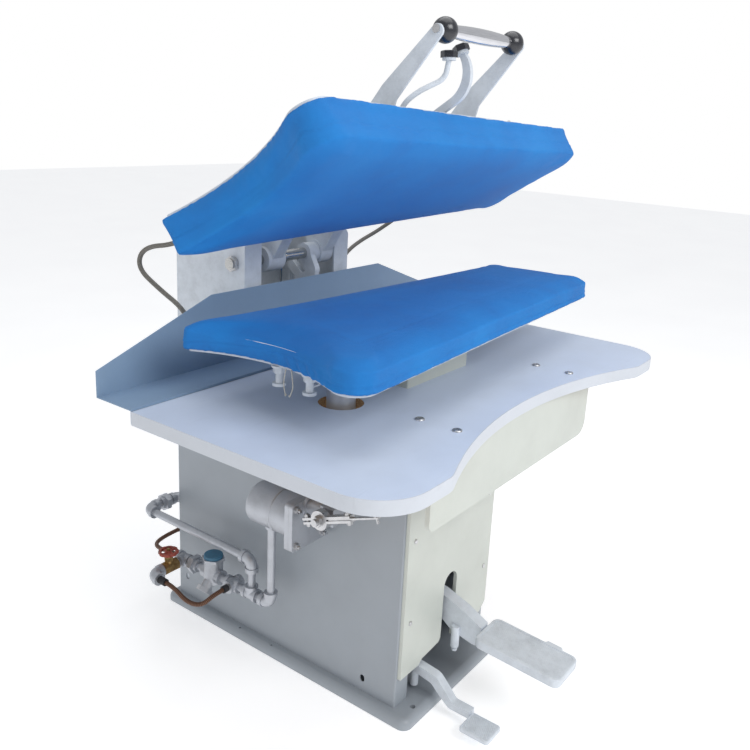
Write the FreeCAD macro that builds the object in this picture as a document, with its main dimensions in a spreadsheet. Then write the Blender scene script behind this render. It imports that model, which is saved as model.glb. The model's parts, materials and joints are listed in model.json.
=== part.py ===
"""Utility steam press for trousers: a foot-operated pressing machine with a hinged head over a buck.

Frame: millimetres, +Z up, +X to the operator's right, -Y towards the operator.
The origin is on the floor at the centre of the base plate's four anchor holes.
The press stands open: the head is up and both pedals are up.
"""
import FreeCAD, Part
import math
import os
import re
from FreeCAD import Placement, Rotation, Vector

doc = FreeCAD.newDocument("trouser_press")
sheet = doc.addObject("Spreadsheet::Sheet", "dims")

DRIVING_SIZES = {
    # base plate and cabinet
    "base_width": 480, "base_depth": 890, "base_height": 26,
    "anchor_x": 350, "anchor_y": 840, "anchor_hole": 14,
    "cabinet_width": 422, "cabinet_front": -388, "cabinet_back": 417, "sheet_metal": 3,
    "front_flange": 53,
    # worktop
    "top_level": 830, "top_thick": 30, "top_width": 1330, "top_back": 15, "top_wing": -657,
    "top_middle": -561, "laminate": 1.5,
    # rear tower
    "tower_width": 414, "tower_front": 152, "tower_height": 1127, "tower_plate": 6,
    "tower_flange": 60, "pivot_y": 192, "pivot_z": 1065, "shaft_radius": 15,
    # buck and head
    "buck_bottom": 950, "press_level": 1013, "pad_inset": 14, "head_thick": 100,
    "head_angle": 33.7, "pipe_x": -309, "pipe_y": -260, "pipe_radius": 33,
    # pedals
    "pedal_y": 27, "pedal_z": 290, "rod_y": 259,
    "small_pedal_y": -250, "small_pedal_z": 120,
    # steam piping on the left side: half-inch pipe
    "steam_pipe": 21.3, "line_x": -285, "line_z": 208,
    "valve_z": 490, "valve_back": 0, "valve_front": -145,
}
for row, (alias, value) in enumerate(DRIVING_SIZES.items(), start=1):
    sheet.set(f"A{row}", alias)
    sheet.set(f"B{row}", str(value))
    sheet.setAlias(f"B{row}", alias)
doc.recompute()

SKETCH_PLANES = {"top": "XY_Plane", "front": "XZ_Plane", "side": "YZ_Plane"}
TURN = {
    "x": Rotation(Vector(0, 1, 0), 90),
    "-x": Rotation(Vector(0, 1, 0), -90),
    "y": Rotation(Vector(1, 0, 0), -90),
    "-y": Rotation(Vector(1, 0, 0), 90),
    "z": Rotation(),
    "-z": Rotation(Vector(1, 0, 0), 180),
}
nodes = []


def size(alias):
    """A driving size, read from the sheet."""
    return float(sheet.get(alias))


def rule(text):
    """An expression on the sheet: each word in the text is one of its aliases."""
    return re.sub(r"[a-z]\w*", r"dims.\g<0>", str(text))


def keep(feature, label):
    """Name a finished sub-part and put it on the list of nodes."""
    feature.Label = label
    nodes.append(feature)
    return feature


def move_to(feature, at):
    for axis, value in zip("xyz", at):
        feature.setExpression(f"Placement.Base.{axis}", rule(value))


def block(at, extent):
    """A box whose lowest corner is at a point."""
    feature = doc.addObject("Part::Box", "block")
    for prop, value in zip(("Length", "Width", "Height"), extent):
        feature.setExpression(prop, rule(value))
    move_to(feature, at)
    return feature


def rod(at, radius, length, along="z"):
    """A cylinder from the middle of one end."""
    feature = doc.addObject("Part::Cylinder", "rod")
    feature.Placement = Placement(Vector(), TURN[along])
    feature.setExpression("Radius", rule(radius))
    feature.setExpression("Height", rule(length))
    move_to(feature, at)
    return feature


def ball(at, radius):
    feature = doc.addObject("Part::Sphere", "ball")
    feature.setExpression("Radius", rule(radius))
    move_to(feature, at)
    return feature


def ring(at, radius, section, along="z"):
    feature = doc.addObject("Part::Torus", "ring")
    feature.Placement = Placement(Vector(), TURN[along])
    feature.setExpression("Radius1", rule(radius))
    feature.setExpression("Radius2", rule(section))
    move_to(feature, at)
    return feature


def nut(at, across_flats, height, along="z"):
    """A hexagon with its flats across the given size."""
    feature = doc.addObject("Part::Prism", "nut")
    feature.Polygon = 6
    feature.Placement = Placement(Vector(), TURN[along])
    feature.setExpression("Circumradius", f"({rule(across_flats)}) / 1.732")
    feature.setExpression("Height", rule(height))
    move_to(feature, at)
    return feature


def fuse(*pieces):
    feature = doc.addObject("Part::MultiFuse", "fuse")
    feature.Shapes = list(pieces)
    feature.Refine = True
    return feature


def cut(base, *tools):
    feature = doc.addObject("Part::Cut", "cut")
    feature.Base = base
    feature.Tool = tools[0] if len(tools) == 1 else fuse(*tools)
    return feature


def group(*pieces):
    """Separate solids that share one node, such as a set of identical screws."""
    feature = doc.addObject("Part::Compound", "group")
    feature.Links = list(pieces)
    return feature


def chosen_edges(shape, test):
    return [i for i, edge in enumerate(shape.Edges, start=1) if test(edge)]


def rounded(base, radius, test):
    """Round the edges of a Part feature that pass a test."""
    doc.recompute()
    feature = doc.addObject("Part::Fillet", "rounded")
    feature.Base = base
    feature.Edges = [(i, radius, radius) for i in chosen_edges(base.Shape, test)]
    return feature


def upright(edge):
    """True for a straight edge along Z."""
    low = edge.BoundBox
    return low.XLength < 0.01 and low.YLength < 0.01 and low.ZLength > 1


def level_at(height):
    """A test for edges that lie wholly at one height."""
    return lambda edge: abs(edge.BoundBox.ZMin - height) < 0.01 and edge.BoundBox.ZLength < 0.01


def outline(points):
    """Edges of a closed outline.

    A point is (a, b) or (a, b, corner radius); a point between two others that starts with "via"
    makes them the ends of an arc through it.
    """
    corners = [p for p in points if p[0] != "via"]
    edges = []
    starts, ends = {}, {}
    for i, point in enumerate(corners):
        here = Vector(point[0], point[1], 0)
        starts[i] = ends[i] = here
        if len(point) == 3:
            before = Vector(*corners[i - 1][:2], 0)
            after = Vector(*corners[(i + 1) % len(corners)][:2], 0)
            back = (before - here).normalize()
            ahead = (after - here).normalize()
            half = back.getAngle(ahead) / 2
            setback = point[2] / math.tan(half)
            ends[i] = here + back * setback
            starts[i] = here + ahead * setback
            middle = here + (back + ahead).normalize() * (point[2] / math.sin(half) - point[2])
            edges.append(Part.Arc(ends[i], middle, starts[i]))
    index = -1
    for i, point in enumerate(points):
        if point[0] == "via":
            after = (index + 1) % len(corners)
            edges.append(Part.Arc(starts[index], Vector(point[1], point[2], 0), ends[after]))
            continue
        index += 1
        follows_via = points[(i + 1) % len(points)][0] == "via"
        after = (index + 1) % len(corners)
        if not follows_via and starts[index].distanceToPoint(ends[after]) > 0.001:
            edges.append(Part.LineSegment(starts[index], ends[after]))
    return edges


def sketch_on(body, plane, outlines, offset=0):
    """A sketch of closed outlines on one of the body's origin planes."""
    sketch = body.newObject("Sketcher::SketchObject", "profile")
    role = SKETCH_PLANES[plane]
    sketch.AttachmentSupport = [(f, "") for f in body.Origin.OriginFeatures if f.Role == role]
    sketch.MapMode = "FlatFace"
    sketch.setExpression("AttachmentOffset.Base.z", rule(offset))
    for points in outlines:
        if points[0] == "circle":
            circle = Part.Circle(Vector(points[1], points[2], 0), Vector(0, 0, 1), points[3])
            sketch.addGeometry(circle, False)
        else:
            sketch.addGeometry(outline(points), False)
    return sketch


def padded(plane, outlines, start, depth):
    """A body padded from a sketch; the sketch lies at start along its plane's normal."""
    body = doc.addObject("PartDesign::Body", "body")
    pad = body.newObject("PartDesign::Pad", "pad")
    pad.Profile = sketch_on(body, plane, outlines, start)
    pad.setExpression("Length", rule(depth))
    return body


def pocket(body, plane, outlines, start, depth, reverse=False):
    """Cut a pocket and make sure that it took material away."""
    doc.recompute()
    before = body.Shape.Volume
    feature = body.newObject("PartDesign::Pocket", "pocket")
    feature.Profile = sketch_on(body, plane, outlines, start)
    feature.setExpression("Length", rule(depth))
    feature.Reversed = reverse
    doc.recompute()
    if body.Shape.Volume > before - 1:
        raise RuntimeError(f"{body.Label}: a pocket cut nothing")


def revolved(outlines):
    """A body turned about the Z axis from a sketch on the front plane."""
    body = doc.addObject("PartDesign::Body", "body")
    turn = body.newObject("PartDesign::Revolution", "turn")
    turn.Profile = sketch_on(body, "front", outlines)
    axis = [f for f in body.Origin.OriginFeatures if f.Role == "Z_Axis"][0]
    turn.ReferenceAxis = (axis, [""])
    turn.Angle = 360
    return body


def soften(body, radius, test):
    """A PartDesign fillet on the body's edges that pass a test."""
    doc.recompute()
    base = body.Tip
    names = [f"Edge{i}" for i in chosen_edges(base.Shape, test)]
    feature = body.newObject("PartDesign::Fillet", "soften")
    feature.Base = (base, names)
    feature.Radius = radius
    doc.recompute()
    return body


def shaped(label, shape):
    """A sub-part whose shape comes from Part's own functions."""
    feature = doc.addObject("Part::Feature", "shape")
    feature.Shape = shape
    return keep(feature, label)


def tube_along(route, radius):
    """A round tube along straight runs joined by tangent arcs, as large as the runs allow."""
    points = [Vector(*p) for p in route]
    edges = []
    radii = []
    start = points[0]
    for before, here, after in zip(points, points[1:], points[2:]):
        back = before - here
        ahead = after - here
        run = min(back.Length, ahead.Length)
        half_turn = (math.pi - back.getAngle(ahead)) / 2
        setback = 0.45 * run
        bend = setback / math.tan(half_turn)
        radii.append(bend)
        into = here + back.normalize() * setback
        out = here + ahead.normalize() * setback
        middle_way = (back + ahead).normalize()
        middle = here + middle_way * (bend / math.cos(half_turn) - bend)
        edges.append(Part.LineSegment(start, into).toShape())
        edges.append(Part.Arc(into, middle, out).toShape())
        start = out
    edges.append(Part.LineSegment(start, points[-1]).toShape())
    path = Part.Wire(edges)
    ring_wire = Part.Wire(Part.makeCircle(radius, points[0], points[1] - points[0]))
    tube = path.makePipeShell([ring_wire], True, False, 0)
    expected = math.pi * radius**2 * path.Length
    if abs(tube.Volume - expected) > 0.03 * expected:
        raise RuntimeError("a tube's volume is not its section times its length")
    print(f"tube length {path.Length:.0f} mm, tightest radius {min(radii):.0f} mm")
    return tube


def opened(points):
    """Points of the closed head, given as (x, y, z), as they lie with the head raised."""
    turn = Rotation(Vector(1, 0, 0), -size("head_angle"))
    pivot = Vector(0, size("pivot_y"), size("pivot_z"))
    return [tuple(pivot + turn.multVec(Vector(*p) - pivot)) for p in points]


def raise_head(feature):
    """Turn a sub-part that is modelled with the head closed into the open position."""
    turn = Rotation(Vector(1, 0, 0), -size("head_angle"))
    pivot = Vector(0, size("pivot_y"), size("pivot_z"))
    feature.Placement = Placement(pivot - turn.multVec(pivot), turn).multiply(feature.Placement)
    return feature


# ---------------------------------------------------------------- casing

def base_plate():
    corner = 26
    x, y = size("base_width") / 2, size("base_depth") / 2
    rim = 14
    plate = [(-x, -y, corner), (x, -y, corner), (x, y, corner), (-x, y, corner)]
    body = padded("top", [plate], 0, "base_height")
    soften(body, 18, level_at(size("base_height")))
    hollow_end = 390
    for low, high in ((-hollow_end, -8), (8, hollow_end)):
        hollow = [(rim - x, low, 10), (x - rim, low, 10), (x - rim, high, 10), (rim - x, high, 10)]
        pocket(body, "top", [hollow], 0, 16, reverse=True)
    ax, ay = size("anchor_x") / 2, size("anchor_y") / 2
    holes = [("circle", sx * ax, sy * ay, size("anchor_hole") / 2) for sx in (-1, 1) for sy in (-1, 1)]
    pocket(body, "top", holes, "base_height + 1", "base_height + 2")
    levelling = [("circle", -226, y_hole, 3) for y_hole in (20, 143)]
    pocket(body, "top", levelling, "base_height + 1", 12)
    keep(body, "base_plate")


def cabinet_shell():
    x = size("cabinet_width") / 2
    wall = size("sheet_metal")
    front, back = size("cabinet_front"), size("cabinet_back")
    inner_end = x - size("front_flange")
    bend = 4
    section = [
        (-inner_end, front), (-x, front, bend), (-x, back, bend), (x, back, bend), (x, front, bend),
        (inner_end, front), (inner_end, front + wall), (x - wall, front + wall), (x - wall, back - wall),
        (wall - x, back - wall), (wall - x, front + wall), (-inner_end, front + wall),
    ]
    body = padded("top", [section], "base_height", "top_level - top_thick - base_height")
    ovals = []
    for y, z in ((381, 87), (-285, 63)):
        ovals.append([(y - 7, z - 10, 6.9), (y + 7, z - 10, 6.9), (y + 7, z + 10, 6.9), (y - 7, z + 10, 6.9)])
    elbow_hole = ("circle", size("pipe_y"), 660, size("pipe_radius") + 0.5)
    pocket(body, "side", [*ovals, elbow_hole], "-cabinet_width / 2 - 1", 6, reverse=True)
    keep(body, "cabinet_shell")


def cover_outline(inset):
    """The front cover: raised over the small pedal, slotted for the main one."""
    slot = 31 + inset
    middle = 4
    return [
        (inset - 205, 755 - inset, 6), (inset - 205, 108 + inset), (-125 - inset / 3, 108 + inset),
        (-111 - inset / 3, 120 + inset), (-102, 120 + inset), (-34 - inset, 127 + inset, 5),
        (middle - slot, 138 + inset), (middle - slot, 284), ("via", middle, 284 + slot), (middle + slot, 284),
        (middle + slot, 112 + inset), (178, 112 + inset), (205 - inset, 134 + inset / 2, 5),
        (205 - inset, 755 - inset, 6),
    ]


def front_cover():
    depth = 10
    body = padded("front", [cover_outline(0)], "-cabinet_front", depth)
    pocket(body, "front", [cover_outline(2)], "-cabinet_front - 1", depth - 1, reverse=True)
    keep(body, "front_cover")


def screw(at, radius, height, along, shank=0):
    """A dome head on a disc, with a shank behind it if it needs one."""
    head = rod(at, radius, height, along)
    return rounded(head, height * 0.8, lambda e: e.Length > 1 and far_end(e, at, height))


def far_end(edge, at, height):
    """True for the rim of a rod that lies away from the point it starts at."""
    centre = edge.BoundBox.Center
    return centre.distanceToPoint(Vector(*[float(v) for v in at])) > height / 2 and edge.isClosed()


def cover_screws():
    face = size("cabinet_front") - 10
    places = [(-177, 479), (177, 479), (-178, 256), (178, 256)]
    heads = [screw((x, face, z), 6, 3, "-y") for x, z in places]
    heads.append(screw((134, face, 116 + 6), 4, 2.5, "-y"))
    return heads


# ---------------------------------------------------------------- worktop

def worktop_outline(inset):
    """The worktop from above: square at the back, round front corners, and a hollow for the operator."""
    x = size("top_width") / 2 - inset
    back = size("top_back") - inset
    wing = size("top_wing") + inset
    corner = 115 - inset
    middle = size("top_middle") + inset
    hollow_end = 455
    hollow_radius = 1190 + inset
    centre = middle - hollow_radius
    end = centre + math.sqrt(hollow_radius**2 - hollow_end**2)
    lean = math.asin(hollow_end / hollow_radius)
    blend = (end - wing) / (1 - math.cos(lean))
    start = hollow_end + blend * math.sin(lean)
    half_way = (start - blend * math.sin(lean / 2), wing + blend * (1 - math.cos(lean / 2)))
    return [
        (-x, back), (-x, wing, corner), (-start, wing), ("via", -half_way[0], half_way[1]),
        (-hollow_end, end), ("via", 0, middle), (hollow_end, end), ("via", *half_way), (start, wing),
        (x, wing, corner), (x, back),
    ]


BOLT_PLACES = [(side * 275, y) for side in (-1, 1) for y in (-450, -544)]
POST_X, POST_Y, POST_SIZE = 7, -230, 80


def worktop_openings():
    """Holes through the top: one for the vacuum pipe, a square one for the post, and bolt holes."""
    half = POST_SIZE / 2 + 6
    square = [(POST_X - half, POST_Y - half, 5), (POST_X + half, POST_Y - half, 5),
              (POST_X + half, POST_Y + half, 5), (POST_X - half, POST_Y + half, 5)]
    bolts = [("circle", x, y, 4.3) for x, y in BOLT_PLACES]
    return [square, ("circle", size("pipe_x"), size("pipe_y"), 52), *bolts]


def worktop():
    core = padded("top", [worktop_outline(2)], "top_level - top_thick", "top_thick - laminate")
    pocket(core, "top", worktop_openings(), "top_level + 1", "top_thick + 2")
    keep(core, "worktop_core")
    skin = padded("top", [worktop_outline(2)], "top_level - laminate", "laminate")
    pocket(skin, "top", worktop_openings(), "top_level + 1", "top_thick")
    keep(skin, "worktop_laminate")
    band = padded("top", [worktop_outline(0)], "top_level - top_thick", "top_thick")
    pocket(band, "top", [worktop_outline(2)], "top_level + 1", "top_thick + 2")
    keep(band, "worktop_edging")


def worktop_supports():
    """Two channels under the top, on a crossmember at the front of the cabinet."""
    under = size("top_level") - size("top_thick")
    front = size("cabinet_front")
    section = [(front - 40, under - 40, 3), (front, under - 40), (front, under), (front - 40, under)]
    cross = padded("side", [section],
                   -300, 600)
    pocket(cross, "side", [[(front - 36, under - 50), (front - 4, under - 50), (front - 4, under - 4),
                            (front - 36, under - 4)]], -301, 602, reverse=True)
    pieces = [cross]
    for side in (-1, 1):
        middle = side * 275
        channel = padded("front", [[(middle - 20, under - 36, 3), (middle + 20, under - 36, 3),
                                    (middle + 20, under), (middle - 20, under)]], 40 - front, 129)
        pocket(channel, "front", [[(middle - 16, under - 40), (middle + 16, under - 40),
                                   (middle + 16, under - 4), (middle - 16, under - 4)]],
               39 - front, 131, reverse=True)
        places = [("circle", x, y, 4.3) for x, y in BOLT_PLACES if x == middle]
        pocket(channel, "top", places, "top_level", 60)
        pieces.append(channel)
    keep(group(*pieces), "worktop_brackets")
    bolts = []
    for x, y in BOLT_PLACES:
        top = size("top_level")
        head = rounded(rod((x, y, top), 11, 4), 3.2, level_at(top + 4))
        bolts.append(fuse(head, rod((x, y, top - 50), 4, 50), nut((x, y, under - 11), 13, 7)))
    return bolts


def apron():
    """The cream pan that hangs in front of the worktop's middle."""
    under = size("top_level") - size("top_thick")
    face, depth, wall = 559, 11, 2
    def plan(inset):
        top = under + 3 * inset
        return [(inset - 383, top), (inset - 383, 641 + inset, 20 - inset),
                (383 - inset, 641 + inset, 38 - inset), (383 - inset, top)]
    body = padded("front", [plan(0)], face - depth, depth)
    pocket(body, "front", [plan(wall)], face - depth - 1, depth - wall + 1, reverse=True)
    keep(body, "apron_panel")


def garment_tray():
    """A bent sheet behind the buck that keeps the trousers off the tower."""
    x, wall = 664, 2
    front, back, floor = 15, 134.5, size("top_level") + 1
    back_outline = [(-x, floor), (x, floor), (x, floor + 61), (335, 1012), (-335, 1012), (-x, floor + 61)]
    body = padded("front", [back_outline],
                  -back, wall)
    for plane, points, start, depth in (
        ("top", [(-x, front), (x, front), (x, back), (-x, back)], floor, wall),
        ("front", [(-x, floor - 29), (x, floor - 29), (x, floor + 5), (-x, floor + 5)],
         -front - wall - 0.5, wall),
    ):
        pad = body.newObject("PartDesign::Pad", "pad")
        pad.Profile = sketch_on(body, plane, [points], start)
        pad.setExpression("Length", rule(depth))
    keep(body, "garment_tray")


# ---------------------------------------------------------------- tower

def tower():
    x, top = size("tower_width") / 2, size("tower_height")
    wall, flange = size("tower_plate"), size("tower_flange")
    front, back = size("tower_front"), size("cabinet_back") - size("sheet_metal") - 0.3
    bottom = size("base_height")
    posts = []
    for side in (-1, 1):
        outer, inner = side * x, side * (x - flange)
        body = padded("front", [[(outer, bottom), (outer, top, 20), (inner, top), (inner, bottom)]],
                      -back, back - front)
        cut_in = side * 10
        pocket(body, "front", [[(outer - side * wall, bottom - 10), (outer - side * wall, top - wall, 14),
                                (inner - cut_in, top - wall), (inner - cut_in, bottom - 10)]],
               -back - 1, back - front - wall + 1, reverse=True)
        hole = ("circle", size("pivot_y"), size("pivot_z"), size("shaft_radius"))
        start = min(outer, outer - side * wall) - 1
        pocket(body, "side", [hole], start, wall + 2, reverse=True)
        posts.append(body)
    keep(group(*posts), "tower_posts")
    panel = block(("6.2 - tower_width / 2", back - 4, 480), ("tower_width - 12.4", 4, 600))
    keep(panel, "tower_back_panel")
    length = size("tower_width") + 32
    keep(rod((-length / 2, "pivot_y", "pivot_z"), "shaft_radius", length, "x"), "pivot_shaft")
    ends = []
    for side, along in ((-1, "-x"), (1, "x")):
        washer_at = (side * (x + 0.2), size("pivot_y"), size("pivot_z"))
        washer = cut(rod(washer_at, 19, 3, along), rod(washer_at, "shaft_radius", 3, along))
        cap_at = (side * (x + 3.4), size("pivot_y"), size("pivot_z"))
        cap = cut(nut(cap_at, 36, 9, along), rod(cap_at, "shaft_radius", 9, along))
        ends += [washer, cap]
    return ends


def balance_rod():
    """A hanger on the pivot shaft: an eye with a thin rod that goes down into the cabinet."""
    x, y, z = -30, size("pivot_y"), size("pivot_z")
    eye = ring((x, y, z), 19.4, 3.3, "x")
    keep(fuse(eye, rod((x, y, 560), 2.9, z - 560 - 18.5)), "balance_rod")


# ---------------------------------------------------------------- buck

BACK_LEFT, BACK_RIGHT = (-572, -1), (660, -69)
FRONT_RIGHT, FRONT_LEFT = (690, -411), (-612, -505)
LEFT_HOLLOW = (-500, -255)
CLEARANCE = 0.4
CORNERS = {"back_left": 16, "back_right": 60, "front_right": 40, "front_left": 60}


def circle_through(a, b, c):
    circle = Part.Circle(Vector(*a, 0), Vector(*b, 0), Vector(*c, 0))
    return circle.Center, circle.Radius


def inset_line(a, b, inset):
    """A point and a direction: the line from a to b moved to its left."""
    start, end = Vector(*a, 0), Vector(*b, 0)
    along = (end - start).normalize()
    return start + Vector(-along.y, along.x, 0) * inset, along


def lines_meet(one, other):
    (p, u), (q, v) = one, other
    gap = q - p
    far = (gap.x * v.y - gap.y * v.x) / (u.x * v.y - u.y * v.x)
    return p + u * far


def line_meets_circle(line, centre, radius):
    """The meeting point nearest to the line's start."""
    start, along = line
    nearest = start + along * (centre - start).dot(along)
    reach = math.sqrt(radius**2 - nearest.distanceToPoint(centre)**2)
    return min((nearest + along * reach, nearest - along * reach), key=lambda p: -p.x)


def press_outline(inset):
    """The plan of the head and of the buck: narrow at the left, with a hollow left end."""
    front = inset_line(FRONT_LEFT, FRONT_RIGHT, inset)
    right = inset_line(FRONT_RIGHT, BACK_RIGHT, inset)
    back = inset_line(BACK_RIGHT, BACK_LEFT, inset)
    centre, radius = circle_through(FRONT_LEFT, LEFT_HOLLOW, BACK_LEFT)
    radius += inset
    front_left = line_meets_circle(front, centre, radius)
    back_left = line_meets_circle(back, centre, radius)
    front_right, back_right = lines_meet(front, right), lines_meet(right, back)
    points = [(p.x, p.y) for p in (front_left, front_right, back_right, back_left)]
    return points + [("via", centre.x + radius, centre.y)]


def round_press_corners(body, inset):
    corners = press_outline(inset)[:4]
    for corner, name in zip(corners, ("front_left", "front_right", "back_right", "back_left")):
        place = Vector(*corner, 0)
        def here(edge):
            middle = edge.BoundBox.Center
            return upright(edge) and Vector(middle.x, middle.y, 0).distanceToPoint(place) < 1
        soften(body, max(CORNERS[name] - inset, 8), here)
    return body


def press_slab(inset, bottom, thickness):
    return round_press_corners(padded("top", [press_outline(inset)], bottom, thickness), inset)


def ribbed_casting(label, bottom, height, opens_up):
    """An iron casting: a floor, a rim and ribs. The open side faces up or down."""
    inset = size("pad_inset")
    wall = 12
    body = press_slab(inset, bottom, height)
    cells = []
    left, right, step = -470, 600, 178
    x = left
    front = inset_line(FRONT_LEFT, FRONT_RIGHT, inset + wall)
    back = inset_line(BACK_RIGHT, BACK_LEFT, inset + wall)
    def edge_y(line, at):
        start, along = line
        return start.y + along.y / along.x * (at - start.x)
    while x + step - 8 <= right:
        low, high = x, x + step - 8
        middle = -238
        for lower, upper in ((front, None), (None, back)):
            corner_y = [
                (low, edge_y(lower, low) if lower else middle + 5),
                (high, edge_y(lower, high) if lower else middle + 5),
                (high, edge_y(upper, high) if upper else middle - 5),
                (low, edge_y(upper, low) if upper else middle - 5),
            ]
            cells.append([(*point, 12) for point in corner_y])
        x += step
    if opens_up:
        pocket(body, "top", cells, bottom + height + 1, height - 11)
    else:
        pocket(body, "top", cells, bottom - 1, height - 11, reverse=True)
    return keep(body, label)


def buck():
    bottom, level = size("buck_bottom"), size("press_level")
    ribbed_casting("buck_casting", bottom - 4, 42, False)
    pad = press_slab(0, bottom, level - bottom)
    soften(pad, 12, level_at(level))
    recess = press_slab(size("pad_inset") - CLEARANCE, bottom - 1, 39 + CLEARANCE)
    keep(cut(pad, recess), "buck_pad")


def buck_supports():
    half = POST_SIZE / 2
    under_buck = size("buck_bottom") - 4
    beam_top = 620
    def square(h):
        return [(POST_X - h, POST_Y - h, 4), (POST_X + h, POST_Y - h, 4), (POST_X + h, POST_Y + h, 4),
                (POST_X - h, POST_Y + h, 4)]
    post = padded("top", [square(half), square(half - 6)], beam_top, under_buck - beam_top)
    inner = size("cabinet_width") / 2 - size("sheet_metal")
    y, z = POST_Y, beam_top - 30
    section = [[(y - 40, z - 30, 5), (y + 40, z - 30, 5), (y + 40, z + 30, 5), (y - 40, z + 30, 5)],
               [(y - 34, z - 24), (y + 34, z - 24), (y + 34, z + 24), (y - 34, z + 24)]]
    keep(fuse(post, padded("side", section, -inner, 2 * inner)), "buck_frame")
    left, right, front, back = -127, 141, -315, -145
    wall = 2
    shroud = [[(left, front, 4), (right, front, 4), (right, back, 4), (left, back, 4)],
              [(left + wall, front + wall), (right - wall, front + wall), (right - wall, back - wall),
               (left + wall, back - wall)]]
    top = size("top_level")
    keep(padded("top", shroud, top, under_buck - top), "pedestal_shroud")


def vacuum_line():
    x, y, radius = size("pipe_x"), size("pipe_y"), size("pipe_radius")
    bend, wall = 55, 2.5
    low = 660 + bend
    under_buck = size("buck_bottom") - 4
    length = under_buck - low
    pipe = cut(rod((x, y, low), radius, length), rod((x, y, low - 1), radius - wall, length + 2))
    flange_at = (x, y, under_buck - 6)
    flange = cut(rod(flange_at, radius + 11, 6), rod(flange_at, radius - 1, 6))
    keep(fuse(pipe, flange), "vacuum_pipe")
    hollow = radius - wall
    centre = (x + bend, y, low)
    wall_x = -size("cabinet_width") / 2 + size("sheet_metal") + 6
    run = wall_x - x - bend
    def bent(section):
        corner = quarter(centre, (-1, 0, 0), (0, 0, -1), bend, section)
        return fuse(corner, rod((x + bend, y, low - bend), section, run, "x"))
    keep(cut(bent(radius), bent(hollow)), "vacuum_elbow")


def quarter(centre, start, end, bend, section):
    """A quarter of a ring: from one direction to another as seen from its centre."""
    u, v = Vector(*start), Vector(*end)
    feature = doc.addObject("Part::Torus", "quarter")
    feature.Placement = Placement(Vector(*centre), Rotation(u, v, u.cross(v), "XYZ"))
    feature.Radius1 = bend
    feature.Radius2 = section
    feature.Angle3 = 90
    return feature


def cleats():
    """Two spool-shaped fittings under the buck, which the cover's strings are tied to."""
    under = size("buck_bottom") - 4
    pieces = []
    for y in (-226, -310):
        x = -474
        spool = [rod((x, y, under - 4), 17, 4), nut((x, y, under - 16), 24, 12),
                 rod((x, y, under - 38), 8, 22),
                 rod((x, y, under - 44), 14.5, 6)]
        if y == -310:
            spool.append(rod((x, y, under - 30), 2.5, 30, "x"))
        pieces.append(fuse(*spool))
    keep(group(*pieces), "cord_cleats")
    starts = {"left": (-493, -262), "right": (-492, -276)}
    for name, (x, y) in starts.items():
        sway = 4 if name == "left" else -4
        top = size("buck_bottom")
        route = [(x, y, top - 0.5), (x - 1, y + sway, top - 20), (x, y + sway * 1.5, top - 40),
                 (x - 2, y - sway / 2, top - 58)]
        shaped(f"drawstring_{name}", tube_along(route, 1.2))


# ---------------------------------------------------------------- head, modelled closed

def head():
    level = size("press_level") + 0.6
    top = size("press_level") + size("head_thick")
    casting = ribbed_casting("head_casting", 1048, 70, True)
    raise_head(casting)
    pad = press_slab(0, level, top - level)
    soften(pad, 12, level_at(level))
    recess_level = 1048 - CLEARANCE
    recess = press_slab(size("pad_inset") - CLEARANCE, recess_level, top + 1 - recess_level)
    raise_head(keep(cut(pad, recess), "head_pad"))


HEAD_TOP = 1118.3


def yoke():
    """Arms over the head, hubs on the shaft, a tie between the arms and the hooked rear lever."""
    y, z = size("pivot_y"), size("pivot_z")
    hub, bore = 34, size("shaft_radius") + 0.05
    def arm(start, width):
        plan = [(y - 20, z - 20, 10), (y + 26, z + 4, 20), (y - 10, z + 78, 30), (110, 1168, 30),
                (-230, 1150, 20),
                (-250, HEAD_TOP), (10, HEAD_TOP, 30)]
        return padded("side", [plan], start, width)
    pieces = [
        rod((-112, y, z), hub, 64, "x"), rod((98, y, z), hub, 49, "x"), rod((58, y, z), 28, 41, "x"),
        arm(-100, 40), arm(104, 40), block((-61, -170, HEAD_TOP), (166, 60, 26)),
        block((-61, 40, 1128), (166, 30, 26)),
    ]
    lever_pin = pin_place()
    hook = [(y - 24, z), (y - 18, z - 60, 20), (y + 10, z - 88, 20), (y + 58, z - 64, 20),
            (lever_pin[0] + 14, lever_pin[1]), (lever_pin[0] - 12, lever_pin[1] + 4), (y + 36, z - 44, 8),
            (y + 14, z - 52, 10), (y + 22, z)]
    pieces.append(rod((58, *lever_pin), 17, 18.5, "x"))
    pieces.append(padded("side", [hook], 58, 18.5))
    body = cut(fuse(*pieces, rod((60, *lever_pin), 8, 38, "x")), rod((-120, y, z), bore, 280, "x"))
    raise_head(keep(body, "head_yoke"))


def pin_place():
    """Where the yoke's rear pin is with the head closed."""
    reach = 70
    half = math.radians(size("head_angle") / 2)
    return (size("pivot_y") + reach * math.cos(half), size("pivot_z") + reach * math.sin(half))


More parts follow.
